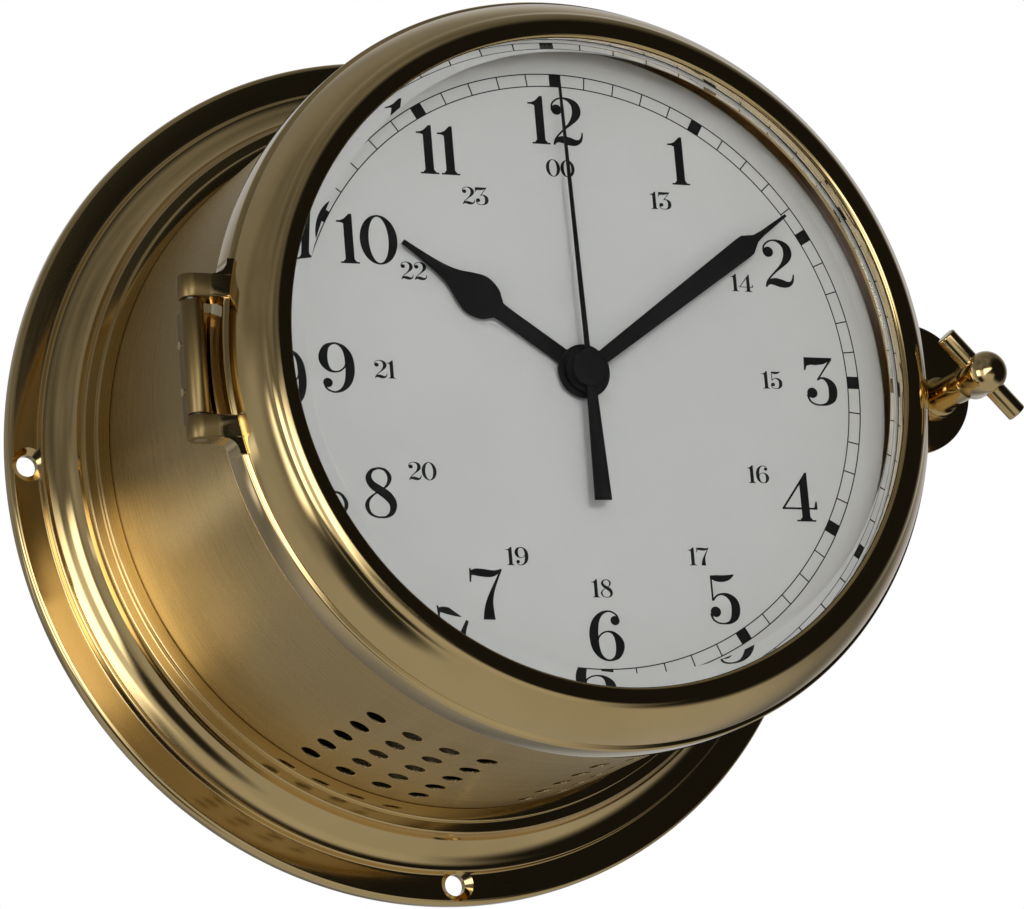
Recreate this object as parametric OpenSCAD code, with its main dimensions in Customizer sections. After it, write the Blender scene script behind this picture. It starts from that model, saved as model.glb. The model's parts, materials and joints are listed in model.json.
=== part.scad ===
// Marine wall clock with a hinged bezel, a bevelled crystal, a quartz movement and a bell-strike unit.
// Millimetres. The wall is the plane y = 0, the dial faces -Y, twelve o'clock is +Z and three o'clock is +X.
// "Depth" below is the distance from the wall towards the viewer, so a depth d lies at y = -d.

/* [Wall flange] */
// Outer diameter of the wall flange
flange_d = 180; // [177:0.5:184]
// Thickness of the band that carries the wall screws
flange_band_t = 3; // [2.5:0.1:3.4]
// Depth at which the flange's collar ends on the drum
collar_depth = 12.8; // [12.2:0.1:13.4]
// Pitch circle diameter of the wall screws
wall_screw_circle_d = 171.5; // [170.5:0.5:172]
// Bore of a wall screw hole
wall_screw_hole_d = 4.4; // [4:0.1:4.8]
// Diameter of a wall screw's countersink
wall_screw_sink_d = 7; // [6:0.1:7.2]

/* [Drum] */
// Outer diameter of the drum
drum_d = 144; // [143.4:0.2:144.4]
// Wall thickness of the drum
drum_wall = 1.6; // [1.4:0.1:1.8]
// Depth of the drum's front edge
drum_front = 76; // [75.8:0.1:76]
// Bore of a sound hole
sound_hole_d = 4.2; // [3.6:0.1:4.4]
// Angle between neighbouring columns of sound holes
sound_column_step = 6.4; // [6:0.1:6.8]
// Spacing of the rows of sound holes along the drum
sound_row_step = 8.55; // [8.2:0.05:8.7]

/* [Bezel] */
// Largest diameter of the bezel ring
bezel_d = 148.7; // [148.3:0.1:149.1]
// Diameter of the bezel's front opening
bezel_opening_d = 127.8; // [127.2:0.2:128.4]
// Depth of the bezel's rear face
bezel_rear = 76.8; // [76.7:0.1:77]
// Depth of the bezel's crest, the foremost part of the case
bezel_crest = 93; // [92.6:0.1:93.4]

/* [Crystal and dial] */
// Diameter of the crystal
crystal_d = 132.4; // [132:0.1:132.6]
// Thickness of the crystal
crystal_t = 6.4; // [6:0.1:6.6]
// Width of the crystal's bevel
crystal_bevel = 5; // [4.7:0.1:5.1]
// Slope of the crystal's bevel
crystal_bevel_angle = 48; // [47:0.5:48]
// Depth of the crystal's rear face
crystal_rear = 85.5; // [85.4:0.1:85.6]
// Diameter of the dial plate
dial_d = 132; // [131:0.5:132]
// Depth of the dial's face
dial_face = 78; // [77.8:0.1:78.2]

/* [Time at rest] */
// Hour hand's angle clockwise from twelve o'clock
hour_angle = 304.5; // [0:0.5:359.5]
// Minute hand's angle clockwise from twelve o'clock
minute_angle = 54.5; // [0:0.5:359.5]
// Second hand's angle clockwise from twelve o'clock
second_angle = 359; // [0:0.5:359.5]

/* [Hinge and lock] */
// Distance of the hinge pin from the clock's axis
hinge_offset = 79.2; // [79:0.1:79.6]
// Depth of the hinge pin
hinge_depth = 81.9; // [81.7:0.1:82]
// Height of one hinge lug
hinge_lug_h = 4.5; // [4:0.1:5]
// Distance between the two hinge lugs
hinge_gap = 22.5; // [21:0.5:24]
// Distance of the lock screw from the clock's axis
lock_offset = 79.2; // [79:0.1:79.6]
// Lock screw's angle below three o'clock
lock_drop = 1.5; // [0:0.5:3]
// Length of the T-bar
lock_bar_l = 21; // [18:0.5:24]
// Direction of the T-bar below the horizontal
lock_bar_tilt = 47; // [30:1:60]

/* [Hidden] */
$fn = 96;

brass = [0.72, 0.58, 0.32];
satin_brass = [0.62, 0.50, 0.28];
black = [0.08, 0.08, 0.08];
white_plastic = [0.85, 0.85, 0.82];
green_board = [0.10, 0.32, 0.18];
steel = [0.62, 0.63, 0.65];

// Free space between two pieces that only lie beside each other
fit_gap = 0.05;
// Free space round a turning shaft
running_gap = 0.05;

drum_r = drum_d / 2;
drum_bore_r = drum_r - drum_wall;
bezel_r = bezel_d / 2;
crystal_r = crystal_d / 2;
dial_r = dial_d / 2;
dial_t = 1;

// An arc of an ellipse as points, from angle a0 to angle a1
function arc(cx, cy, rx, ry, a0, a1, steps = 14) =
    [for (i = [0 : steps]) let (a = a0 + (a1 - a0) * i / steps) [cx + rx * cos(a), cy + ry * sin(a)]];

// A point on the dial at a radius and a counter-clockwise angle from three o'clock
function polar(r, a) = [r * cos(a), r * sin(a)];

// Lays a drawing of the front view at a depth, with its height towards the viewer
module at_depth(d) translate([0, -d, 0]) rotate([90, 0, 0]) children();

// Turns a profile of [radius, depth] points about the clock's axis
module turned() rotate([90, 0, 0]) rotate_extrude() children();

// A plain ring between two radii and two depths
module ring(r_in, r_out, d0, d1) turned() translate([r_in, d0]) square([r_out - r_in, d1 - d0]);

// A round pin along the clock's axis through a point of the front view
module pin(p, r, d0, d1) translate([p[0], -d0, p[1]]) rotate([90, 0, 0]) cylinder(r = r, h = d1 - d0);

// A block between two corners of the front view and two depths
module block(x0, x1, z0, z1, d0, d1) translate([x0, -d1, z0]) cube([x1 - x0, d1 - d0, z1 - z0]);

// A round bar along X
module bar_x(x0, x1, z, d, r) translate([x0, -d, z]) rotate([0, 90, 0]) cylinder(r = r, h = x1 - x0);

// A pan-head screw whose head lies on the wall side of its seat
module screw(p, shank_r, head_r, head_d0, head_d1, tip) {
    pin(p, head_r, head_d0, head_d1);
    pin(p, shank_r, head_d0, tip);
}

// WALL FLANGE
flange_r = flange_d / 2;
flange_edge_round = 1.2;
flange_step_r = flange_r - 6.6;
flange_step_depth = 4.4;
collar_step_r = drum_r + 2.7;
collar_step_depth = collar_depth - 1.3;
collar_chamfer = 0.4;
cove_top_r = drum_r + 4.9;
cove_top_depth = collar_step_depth - collar_chamfer;
wall_screw_r = wall_screw_circle_d / 2;
wall_screw_count = 4;

module wall_flange_profile() polygon(concat(
    [[drum_r + fit_gap, 0], [flange_r, 0]],
    arc(flange_r - flange_edge_round, flange_band_t - flange_edge_round, flange_edge_round, flange_edge_round,
        0, 90, 6),
    [[flange_step_r + 0.4, flange_band_t], [flange_step_r, flange_step_depth]],
    arc(flange_step_r, cove_top_depth, flange_step_r - cove_top_r, cove_top_depth - flange_step_depth, 270, 180),
    [[cove_top_r - collar_chamfer, collar_step_depth], [collar_step_r, collar_step_depth],
     [collar_step_r, collar_depth - collar_chamfer], [collar_step_r - collar_chamfer, collar_depth],
     [drum_r + fit_gap, collar_depth]]
));

module wall_flange() color(brass) difference() {
    turned() wall_flange_profile();
    for (i = [0 : wall_screw_count - 1]) {
        hole = polar(wall_screw_r, i * 360 / wall_screw_count);
        pin(hole, wall_screw_hole_d / 2, -1, flange_band_t + 1);
        sink = (wall_screw_sink_d - wall_screw_hole_d) / 2;
        translate([hole[0], -(flange_band_t - sink), hole[1]]) rotate([90, 0, 0])
            cylinder(r1 = wall_screw_hole_d / 2, r2 = wall_screw_sink_d / 2 + 0.1, h = sink + 0.1);
    }
}

// DRUM
drum_rear = 1;
sound_columns = 4;
sound_rows = 5;
sound_row_first = 19.8;
sound_group_offset = 9.5;
sound_centre_angle = -92;

module case_drum() color(satin_brass) difference() {
    ring(drum_bore_r, drum_r, drum_rear, drum_front);
    for (side = [-1, 1], column = [0 : sound_columns - 1], row = [0 : sound_rows - 1]) {
        angle = sound_centre_angle + side * (sound_group_offset + column * sound_column_step);
        translate([0, -(sound_row_first + row * sound_row_step), 0]) rotate([0, 90 - angle, 0])
            translate([0, 0, drum_bore_r - 2]) cylinder(d = sound_hole_d, h = drum_wall + 4, $fn = 24);
    }
    hinge_rivet_places() cylinder(r = rivet_r + fit_gap, h = drum_r + 2);
}

// REAR
rear_ring_in_r = 62;
rear_ring_front = 7;
rear_cover_rear = 2;
rear_cover_front = 3.5;
rear_cover_r = drum_bore_r - 0.6;
rear_screw_circle_r = 66;
rear_screw_count = 6;
rear_screw_r = 1.5;
switch_x = -40;
switch_z = -30;
switch_travel = 4;
switch_slot = [3, 1.6];
switch_pocket = [3.6, 2.8];
switch_knob = [2.6, 1.3];
switch_foot = [3.2, 2.4];

// A block round the switch with half sizes, longer by a travel, between two depths
module switch_block(half, travel, d0, d1)
    block(switch_x - half[0], switch_x + half[0] + travel, switch_z - half[1], switch_z + half[1], d0, d1);

module rear_screw_places() for (i = [0 : rear_screw_count - 1]) {
    p = polar(rear_screw_circle_r, 30 + i * 360 / rear_screw_count);
    translate([p[0], 0, p[1]]) children();
}

module rear_ring() color(brass) difference() {
    ring(rear_ring_in_r, drum_bore_r - fit_gap, rear_cover_front, rear_ring_front);
    rear_screw_places() pin([0, 0], rear_screw_r + fit_gap, 0, 20);
}

module rear_cover() color(brass) difference() {
    at_depth(rear_cover_rear) cylinder(r = rear_cover_r, h = rear_cover_front - rear_cover_rear);
    rear_screw_places() pin([0, 0], rear_screw_r + fit_gap, 0, 20);
    switch_block(switch_slot, switch_travel, 0, 20);
}

module rear_cover_screws() color(steel)
    rear_screw_places() screw([0, 0], rear_screw_r, 2.8, rear_cover_rear - 1.4, rear_cover_rear, rear_ring_front);

// DIAL
support_in_r = 56;
support_lip_r = dial_r - 1.5;
support_rear = 70;
support_step = 72.6;
dial_rear = dial_face - dial_t;
dial_hole_r = 4.1;
dial_screw_circle_r = 61;
dial_screw_count = 3;
dial_screw_r = 1;

module dial_screw_places() for (i = [0 : dial_screw_count - 1]) {
    p = polar(dial_screw_circle_r, 90 + i * 360 / dial_screw_count);
    translate([p[0], 0, p[1]]) children();
}

module dial_support_ring() color(brass) difference() {
    turned() polygon([
        [support_in_r, support_rear], [drum_bore_r - fit_gap, support_rear],
        [drum_bore_r - fit_gap, support_step], [support_lip_r, support_step],
        [support_lip_r, dial_rear], [support_in_r, dial_rear]
    ]);
    dial_screw_places() pin([0, 0], dial_screw_r + fit_gap, support_rear - 1, dial_face);
}

module dial_plate() color([0.85, 0.85, 0.84]) difference() {
    at_depth(dial_rear) cylinder(r = dial_r, h = dial_t);
    pin([0, 0], dial_hole_r, dial_rear - 1, dial_face + 1);
    dial_screw_places() pin([0, 0], dial_screw_r + fit_gap, dial_rear - 1, dial_rear + 0.6);
}

module dial_screws() color(steel)
    dial_screw_places() screw([0, 0], dial_screw_r, 2, support_rear - 1.2, support_rear, dial_rear + 0.5);

module case_seal() color(black) ring(drum_bore_r, drum_r, drum_front, drum_front + 0.5);

// HINGE
hinge_lug_round = 2.6;
hinge_barrel_r = 2.2;
hinge_pin_r = 1.2;
hinge_lug_root = 70;
hinge_fillet = 3;
hinge_web_out = hinge_offset - 0.2;
hinge_web_in = hinge_offset - 2.2;
hinge_foot_rear = 73;
hinge_foot_front = 75.5;
hinge_clearance = 0.35;
hinge_half = hinge_gap / 2;
hinge_outer = hinge_half + hinge_lug_h;
rivet_r = 0.8;
rivet_head_r = 1.4;
rivet_depth = (hinge_foot_rear + hinge_foot_front) / 2;
rivet_height = 4.5;

// One hinge lug with its half-round end and a fillet into the ring
module hinge_lug() intersection() {
    translate([-hinge_offset, -hinge_depth, hinge_half - 8]) union() {
        cylinder(r = hinge_lug_round, h = 24);
        translate([0, -hinge_lug_round, 0]) cube([hinge_offset - hinge_lug_root, 2 * hinge_lug_round, 24]);
    }
    union() {
        block(-hinge_offset - 4, -hinge_lug_root, hinge_half, hinge_outer, 70, 90);
        difference() {
            block(-bezel_r - 1.2, -hinge_lug_root, hinge_outer, hinge_outer + hinge_fillet, 70, 90);
            pin([-bezel_r - 1.2, hinge_outer + hinge_fillet], hinge_fillet, 60, 95);
        }
    }
}

module hinge_pin_bore(r) translate([-hinge_offset, -hinge_depth, -hinge_outer - 1])
    cylinder(r = r, h = 2 * hinge_outer + 2);

module hinge_rivet_places() for (side = [-1, 1]) translate([0, -rivet_depth, side * rivet_height])
    rotate([0, -90, 0]) children();

module hinge_bracket() color(brass) difference() {
    half = hinge_half - hinge_clearance;
    union() {
        translate([-hinge_offset, -hinge_depth, -half]) cylinder(r = hinge_barrel_r, h = 2 * half);
        block(-hinge_web_out, -hinge_web_in, -half, half, hinge_foot_rear, hinge_depth);
        block(-hinge_web_out, -drum_r + 3, -half, half, hinge_foot_rear, hinge_foot_front);
    }
    at_depth(hinge_foot_rear - 5) cylinder(r = drum_r + fit_gap, h = 40);
    hinge_pin_bore(hinge_pin_r + fit_gap);
    hinge_rivet_places() cylinder(r = rivet_r + fit_gap, h = 100);
}

module hinge_rivets() color(brass) hinge_rivet_places() {
    translate([0, 0, drum_bore_r - 1.4]) cylinder(r = rivet_head_r, h = 1);
    translate([0, 0, drum_bore_r - 1]) cylinder(r = rivet_r, h = hinge_web_out - drum_bore_r + 1.3);
}

module hinge_pin() color(steel) translate([-hinge_offset, -hinge_depth, -hinge_outer])
    cylinder(r = hinge_pin_r, h = 2 * hinge_outer);

// BEZEL
bezel_band_front = 83.6;
bezel_groove_r = bezel_r - 1.25;
bezel_shoulder_r = bezel_r - 1.05;
bezel_shoulder_depth = 84.8;
bezel_lip_r = bezel_opening_d / 2;
bezel_lip_round = 0.9;
bezel_lip_fall = 0.1;
bezel_crest_r = bezel_lip_r + 2.7;
bezel_crest_round = 3;
bezel_flank_bulge = 0.5;
bezel_crest_p = [bezel_crest_r, bezel_crest - bezel_crest_round];
bezel_flank_from = [bezel_shoulder_r, bezel_shoulder_depth];
// A straight flank from the shoulder would touch the crest's round at this angle
bezel_flank = bezel_flank_from - bezel_crest_p;
bezel_flank_angle = atan2(bezel_flank[1], bezel_flank[0]) + acos(bezel_crest_round / norm(bezel_flank));
bezel_flank_to = bezel_crest_p + polar(bezel_crest_round, bezel_flank_angle);
bezel_undercut_r = bezel_lip_r + 1.1;
bezel_undercut_depth = 88.2;
glass_bore_r = crystal_r + 0.3;
glass_shoulder_depth = 87;
retainer_r = 67.5;
retainer_rear = 83.1;
retainer_front = 85;
retainer_in_r = 64.6;

lock_p = polar(lock_offset, -lock_drop);
lock_lug_p = [bezel_r - 0.85, 0];
lock_lug_r = 13.4;
lock_lug_front = 78.3;
lock_hole_r = 3.3;
case_lug_r = lock_lug_r - 2;
case_lug_rear = 72.4;

// A point of the slightly swollen flank, at a share of its length
function flank_point(s) = let (along = bezel_flank_to - bezel_flank_from)
    bezel_flank_from + along * s + 4 * bezel_flank_bulge * s * (1 - s) * [along[1], -along[0]] / norm(along);

module bezel_profile() polygon(concat(
    [[retainer_r + fit_gap, bezel_rear], [bezel_r - 0.5, bezel_rear], [bezel_r - 0.1, bezel_rear + 0.4],
     [bezel_r, bezel_band_front - 0.5], [bezel_r - 0.4, bezel_band_front],
     [bezel_groove_r, bezel_band_front + 0.3], [bezel_groove_r, bezel_shoulder_depth - 0.2],
     bezel_flank_from],
    [for (i = [1 : 7]) flank_point(i / 8)],
    arc(bezel_crest_p[0], bezel_crest_p[1], bezel_crest_round, bezel_crest_round, bezel_flank_angle, 90, 8),
    arc(bezel_lip_r + bezel_lip_round, bezel_crest - bezel_lip_fall - bezel_lip_round,
        bezel_lip_round, bezel_lip_round, 90, 180, 6),
    [[bezel_undercut_r, bezel_undercut_depth], [glass_bore_r, glass_shoulder_depth],
     [glass_bore_r, retainer_front + 0.3], [retainer_r + fit_gap, retainer_front + 0.3]]
));

module bezel_ring() color(brass) difference() {
    union() {
        turned() bezel_profile();
        for (flip = [0, 1]) mirror([0, 0, flip]) hinge_lug();
        difference() {
            pin(lock_lug_p, lock_lug_r, bezel_rear, lock_lug_front);
            at_depth(bezel_rear - 1) cylinder(r = bezel_r - 2, h = 10);
        }
    }
    hinge_pin_bore(hinge_pin_r + running_gap);
    pin(lock_p, lock_hole_r, bezel_rear - 1, lock_lug_front + 1);
}

module case_lock_lug() color(brass) difference() {
    pin(lock_lug_p, case_lug_r, case_lug_rear, drum_front + 0.3);
    at_depth(case_lug_rear - 1) cylinder(r = drum_r + fit_gap, h = 10);
    pin(lock_p, thread_r + 0.5, case_lug_rear - 1, drum_front + 1);
}

// CRYSTAL
crystal_front = crystal_rear + crystal_t;

// Depth of the crystal's bevel at a radius
function bevel_depth(r) = crystal_front - (r - crystal_r + crystal_bevel) * tan(crystal_bevel_angle);

module crystal() color([0.8, 0.9, 0.95, 0.35]) turned() polygon([
    [0, crystal_rear], [crystal_r, crystal_rear], [crystal_r, bevel_depth(crystal_r)],
    [crystal_r - crystal_bevel, crystal_front], [0, crystal_front]
]);

module crystal_front_gasket() color(black) turned() polygon([
    [crystal_r + 0.1, bevel_depth(crystal_r)], [crystal_r + 0.1, glass_shoulder_depth + 0.1],
    [bezel_undercut_r + 0.1, bezel_undercut_depth - 0.2],
    [bezel_undercut_r + 0.1, bevel_depth(bezel_undercut_r)]
]);

module crystal_rear_gasket() color(white_plastic) ring(retainer_in_r, crystal_r, retainer_front, crystal_rear);

module glass_retainer() color(brass) ring(retainer_in_r, retainer_r, retainer_rear, retainer_front);

// LOCK SCREW
thread_r = 2.4;
washer_t = 0.8;
washer_front = lock_lug_front + 0.05 + washer_t;
collar_r = 4.1;
stem_r = 3.2;
collar_front = washer_front + 3.4;
head_r = 4.1;
head_rear = 92.8;
head_front = 98.6;
dome_h = 3.3;
lock_bar_depth = 96.4;
lock_bar_r = 2;
screw_tip = case_lug_rear + 0.3;

module lock_washer() color(brass) difference() {
    pin(lock_p, collar_r, washer_front - washer_t, washer_front);
    pin(lock_p, thread_r + running_gap, 70, 90);
}

module lock_bar_at() translate([lock_p[0], -lock_bar_depth, lock_p[1]]) rotate([0, lock_bar_tilt, 0])
    rotate([0, 90, 0]) translate([0, 0, -lock_bar_l / 2]) children();

module thumbscrew() color(brass) difference() {
    translate([lock_p[0], 0, lock_p[1]]) turned() polygon(concat(
        [[0, screw_tip], [thread_r - 0.5, screw_tip], [thread_r, screw_tip + 0.5], [thread_r, washer_front + 0.05],
         [collar_r, washer_front + 0.05], [collar_r, washer_front + 0.9]],
        arc(collar_r, collar_front, collar_r - stem_r, collar_front - washer_front - 0.9, 270, 180, 6),
        [[stem_r, head_rear - 0.6], [head_r, head_rear]],
        arc(0, head_front, head_r, dome_h, 0, 90, 10)
    ));
    lock_bar_at() cylinder(r = lock_bar_r + fit_gap, h = lock_bar_l);
}

module thumbscrew_bar() color(brass) lock_bar_at() cylinder(r = lock_bar_r, h = lock_bar_l);

// HANDS
hour_hand_rear = 79.1;
minute_hand_rear = 80.4;
second_hand_rear = 81.7;
hand_t = 0.6;
hand_boss_t = 0.9;
hour_hub_r = 5.3;
minute_hub_r = 4.6;
second_hub_r = 3.7;
hub_cap_front = 82.8;
second_shaft_r = 0.6;
cannon_r = 1.6;
hour_tube_r = 2.7;

// Draws a hand that points to twelve o'clock and turns it to its angle
module hand_at(angle, rear) at_depth(rear) rotate([0, 0, -angle]) linear_extrude(height = hand_t) children();

hour_tip = 43.2;
hour_spade_at = 26;
hour_spade_w = 8.5;
hour_baton_w = 3.2;
hour_neck_at = 34.4;
hour_neck_w = 1.8;
hour_tip_w = 0.7;

module hour_hand_outline() polygon(concat(
    [[-hour_baton_w / 2, 0], [-hour_baton_w / 2, hour_spade_at - 6]],
    arc(0, hour_spade_at - 1, hour_spade_w / 2, hour_spade_w / 2 - 0.6, 200, 100, 8),
    [[-hour_neck_w / 2, hour_neck_at], [-hour_tip_w / 2, hour_tip],
     [hour_tip_w / 2, hour_tip], [hour_neck_w / 2, hour_neck_at]],
    arc(0, hour_spade_at - 1, hour_spade_w / 2, hour_spade_w / 2 - 0.6, 80, -20, 8),
    [[hour_baton_w / 2, hour_spade_at - 6], [hour_baton_w / 2, 0]]
));

module hour_hand() color(black) difference() {
    union() {
        hand_at(hour_angle, hour_hand_rear) hour_hand_outline();
        pin([0, 0], hour_hub_r, hour_hand_rear, hour_hand_rear + hand_boss_t);
    }
    pin([0, 0], hour_tube_r, hour_hand_rear - 1, hour_hand_rear + 3);
}

minute_tip = 57;
minute_wide_at = 45.4;
minute_shoulder_at = 48.5;
minute_root_w = 2.6;
minute_wide_w = 4.6;
minute_shoulder_w = 1.4;
minute_tip_w = 0.6;

module minute_hand_outline() polygon([
    [-minute_root_w / 2, 0], [-minute_wide_w / 2, minute_wide_at], [-minute_shoulder_w / 2, minute_shoulder_at],
    [-minute_tip_w / 2, minute_tip], [minute_tip_w / 2, minute_tip],
    [minute_shoulder_w / 2, minute_shoulder_at], [minute_wide_w / 2, minute_wide_at], [minute_root_w / 2, 0]
]);

module minute_hand() color(black) difference() {
    union() {
        hand_at(minute_angle, minute_hand_rear) minute_hand_outline();
        pin([0, 0], minute_hub_r, minute_hand_rear, minute_hand_rear + hand_boss_t);
    }
    pin([0, 0], cannon_r, minute_hand_rear - 1, minute_hand_rear + 3);
}

second_tip = 57.4;
second_tail = 26;
second_tail_w = 3.5;
second_blade_w = 1;
second_tip_w = 0.5;

module second_hand_outline() polygon([
    [-second_tail_w / 2, -second_tail], [-second_blade_w, 0], [-second_blade_w / 2, second_hub_r],
    [-second_tip_w / 2, second_tip], [second_tip_w / 2, second_tip],
    [second_blade_w / 2, second_hub_r], [second_blade_w, 0], [second_tail_w / 2, -second_tail]
]);

module second_hand() color(black) difference() {
    union() {
        hand_at(second_angle, second_hand_rear) second_hand_outline();
        turned() polygon(concat(
            [[0, second_hand_rear], [second_hub_r, second_hand_rear]],
            arc(0, second_hand_rear + hand_t, second_hub_r, hub_cap_front - second_hand_rear - hand_t, 0, 90, 8)
        ));
    }
    pin([0, 0], second_shaft_r, second_hand_rear - 1, second_hand_rear + 0.5);
}

// GEARS
// Angle of a tooth on the second gear of a meshing pair, when the first has a tooth at angle phase
function mate_phase(teeth, phase, mate_teeth, direction) =
    direction + 180 - (0.5 - (direction - phase) * teeth / 360) * 360 / mate_teeth;

// A gear's outline with a tooth centred at angle phase; teeth are slim, so a pair always has backlash
module gear_outline(teeth, pitch_r, phase) {
    size = 2 * pitch_r / teeth;
    step = 360 / teeth;
    root_r = pitch_r - 1.15 * size;
    tip_r = pitch_r + 0.7 * size;
    polygon([for (i = [0 : teeth - 1], corner = [[-0.26, root_r], [-0.11, tip_r], [0.11, tip_r], [0.26, root_r]])
        polar(corner[1], phase + (i + corner[0]) * step)]);
}

// A gear at a point of the front view, between the two depths of its layer
module gear(p, teeth, pitch_r, phase, layer) translate([p[0], 0, p[1]]) at_depth(layer[0])
    linear_extrude(height = layer[1] - layer[0]) gear_outline(teeth, pitch_r, phase);

arbor_r = 0.5;
rotor_teeth = 10;
fifth_teeth = 60;
fifth_pinion_teeth = 8;
second_teeth = 40;
second_pinion_teeth = 8;
third_teeth = 60;
third_pinion_teeth = 8;
minute_teeth = 64;
minute_pinion_teeth = 12;
motion_teeth = 36;
motion_pinion_teeth = 10;
hour_teeth = 40;
setting_teeth = 12;

fifth_pinion_layer = [58.5, 60.6];
fifth_wheel_layer = [60.6, 61.4];
rotor_pinion_layer = [60, 62];
second_wheel_layer = [59, 60];
second_pinion_layer = [60, 62.3];
third_wheel_layer = [61, 62];
third_pinion_layer = [62, 64.7];
minute_wheel_layer = [63.4, 64.4];
minute_pinion_layer = [66.4, 69];
motion_wheel_layer = [67, 68];
motion_pinion_layer = [68, 71.4];
hour_wheel_layer = [69.8, 70.8];
setting_pinion_layer = [66.8, 68.2];

fifth_distance = 10.2;
rotor_distance = 7;
third_distance = 10.2;
motion_distance = 12;
setting_distance = 12;
fifth_direction = -60;
rotor_direction = -60;
third_direction = 150;
motion_direction = 60;
setting_direction = 120;

fifth_p = polar(fifth_distance, fifth_direction);
rotor_p = fifth_p + polar(rotor_distance, rotor_direction);
third_p = polar(third_distance, third_direction);
motion_p = polar(motion_distance, motion_direction);
setting_p = motion_p + polar(setting_distance, setting_direction);

// Share of a pair's centre distance that is the first gear's pitch radius
function share(teeth, mate_teeth) = teeth / (teeth + mate_teeth);

// DEPTHS OF THE MOVEMENT
cover_rear = 56;
cover_front = 58;
housing_front = 74;
housing_wall = 1.5;
housing_half = 29;
housing_bottom = -47.5;
plate_rear = housing_front - housing_wall;
bridge_rear = 65;
bridge_front = 66;
bridge_bottom = -17.5;
bridge_top = 17;
bush_r = 4;
bush_front = dial_face + 0.7;
pivot_r = 0.4;

module second_wheel() color(brass) {
    pin([0, 0], second_shaft_r, cover_rear + 0.5, second_hand_rear + 0.4);
    gear([0, 0], second_teeth, fifth_distance * share(second_teeth, fifth_pinion_teeth), 0, second_wheel_layer);
    gear([0, 0], second_pinion_teeth, third_distance * share(second_pinion_teeth, third_teeth), 0,
         second_pinion_layer);
}

module third_wheel() color(brass) {
    pin(third_p, arbor_r, cover_front + 0.2, bridge_rear - 0.2);
    pin(third_p, pivot_r, cover_rear + 0.5, bridge_front);
    gear(third_p, third_teeth, third_distance * share(third_teeth, second_pinion_teeth),
         mate_phase(second_pinion_teeth, 0, third_teeth, third_direction), third_wheel_layer);
    gear(third_p, third_pinion_teeth, third_distance * share(third_pinion_teeth, minute_teeth), 0,
         third_pinion_layer);
}

module minute_wheel() color(brass) difference() {
    union() {
        pin([0, 0], cannon_r, minute_wheel_layer[0] - 0.6, minute_hand_rear + hand_t);
        gear([0, 0], minute_teeth, third_distance * share(minute_teeth, third_pinion_teeth),
             mate_phase(third_pinion_teeth, 0, minute_teeth, third_direction + 180), minute_wheel_layer);
        gear([0, 0], minute_pinion_teeth, motion_distance * share(minute_pinion_teeth, motion_teeth), 0,
             minute_pinion_layer);
    }
    pin([0, 0], second_shaft_r + running_gap, 60, 90);
}

motion_phase = mate_phase(minute_pinion_teeth, 0, motion_teeth, motion_direction);

module motion_wheel() color(brass) {
    pin(motion_p, arbor_r, cover_front + 0.2, plate_rear - 0.2);
    pin(motion_p, pivot_r, cover_rear + 0.5, housing_front - 0.3);
    gear(motion_p, motion_teeth, motion_distance * share(motion_teeth, minute_pinion_teeth), motion_phase,
         motion_wheel_layer);
    gear(motion_p, motion_pinion_teeth, motion_distance * share(motion_pinion_teeth, hour_teeth), 0,
         motion_pinion_layer);
}

module hour_wheel() color(brass) difference() {
    union() {
        pin([0, 0], hour_tube_r, hour_wheel_layer[0] - 0.2, hour_hand_rear + hand_t);
        gear([0, 0], hour_teeth, motion_distance * share(hour_teeth, motion_pinion_teeth),
             mate_phase(motion_pinion_teeth, 0, hour_teeth, motion_direction + 180), hour_wheel_layer);
    }
    pin([0, 0], cannon_r + running_gap, 60, 90);
}

fifth_pinion_phase = mate_phase(second_teeth, 0, fifth_pinion_teeth, fifth_direction);

module fifth_wheel() color(brass) {
    pin(fifth_p, arbor_r, cover_front + 0.2, bridge_rear - 0.2);
    pin(fifth_p, pivot_r, cover_rear + 0.5, bridge_front);
    gear(fifth_p, fifth_pinion_teeth, fifth_distance * share(fifth_pinion_teeth, second_teeth),
         fifth_pinion_phase, fifth_pinion_layer);
    gear(fifth_p, fifth_teeth, rotor_distance * share(fifth_teeth, rotor_teeth), 0, fifth_wheel_layer);
}

magnet_r = 2.8;
magnet_rear = 62.4;
magnet_front = 64.2;

module rotor() color(steel) {
    pin(rotor_p, arbor_r, cover_front + 0.2, bridge_rear - 0.2);
    pin(rotor_p, pivot_r, cover_rear + 0.5, bridge_front);
    gear(rotor_p, rotor_teeth, rotor_distance * share(rotor_teeth, fifth_teeth),
         mate_phase(fifth_teeth, 0, rotor_teeth, rotor_direction), rotor_pinion_layer);
    pin(rotor_p, magnet_r, magnet_rear, magnet_front);
}

knob_r = 6;
knob_rear = 50;

module setting_knob() color(black) {
    gear(setting_p, setting_teeth, setting_distance * share(setting_teeth, motion_teeth),
         mate_phase(motion_teeth, motion_phase, setting_teeth, setting_direction), setting_pinion_layer);
    pin(setting_p, arbor_r + 0.3, knob_rear, setting_pinion_layer[1]);
    pin(setting_p, pivot_r, setting_pinion_layer[1], housing_front - 0.3);
    pin(setting_p, knob_r, knob_rear, cover_rear - 0.8);
}

// MOVEMENT CASE
battery_z = -38;
battery_depth = 65;
battery_r = 7.1;
battery_half = 25;
// Button on the end of a cell
cell_cap_r = 2.6;
cell_cap_l = 1.4;

module corner_places(half) for (x = [-half, half], z = [-half, half]) translate([x, 0, z]) children();

cover_screw_at = housing_half - 3.4;
cover_screw_r = 0.85;
cover_screw_head_r = 1.8;
cover_screw_head_t = 1.1;
cover_screw_tip = 66;
boss_r = 2.4;

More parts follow.
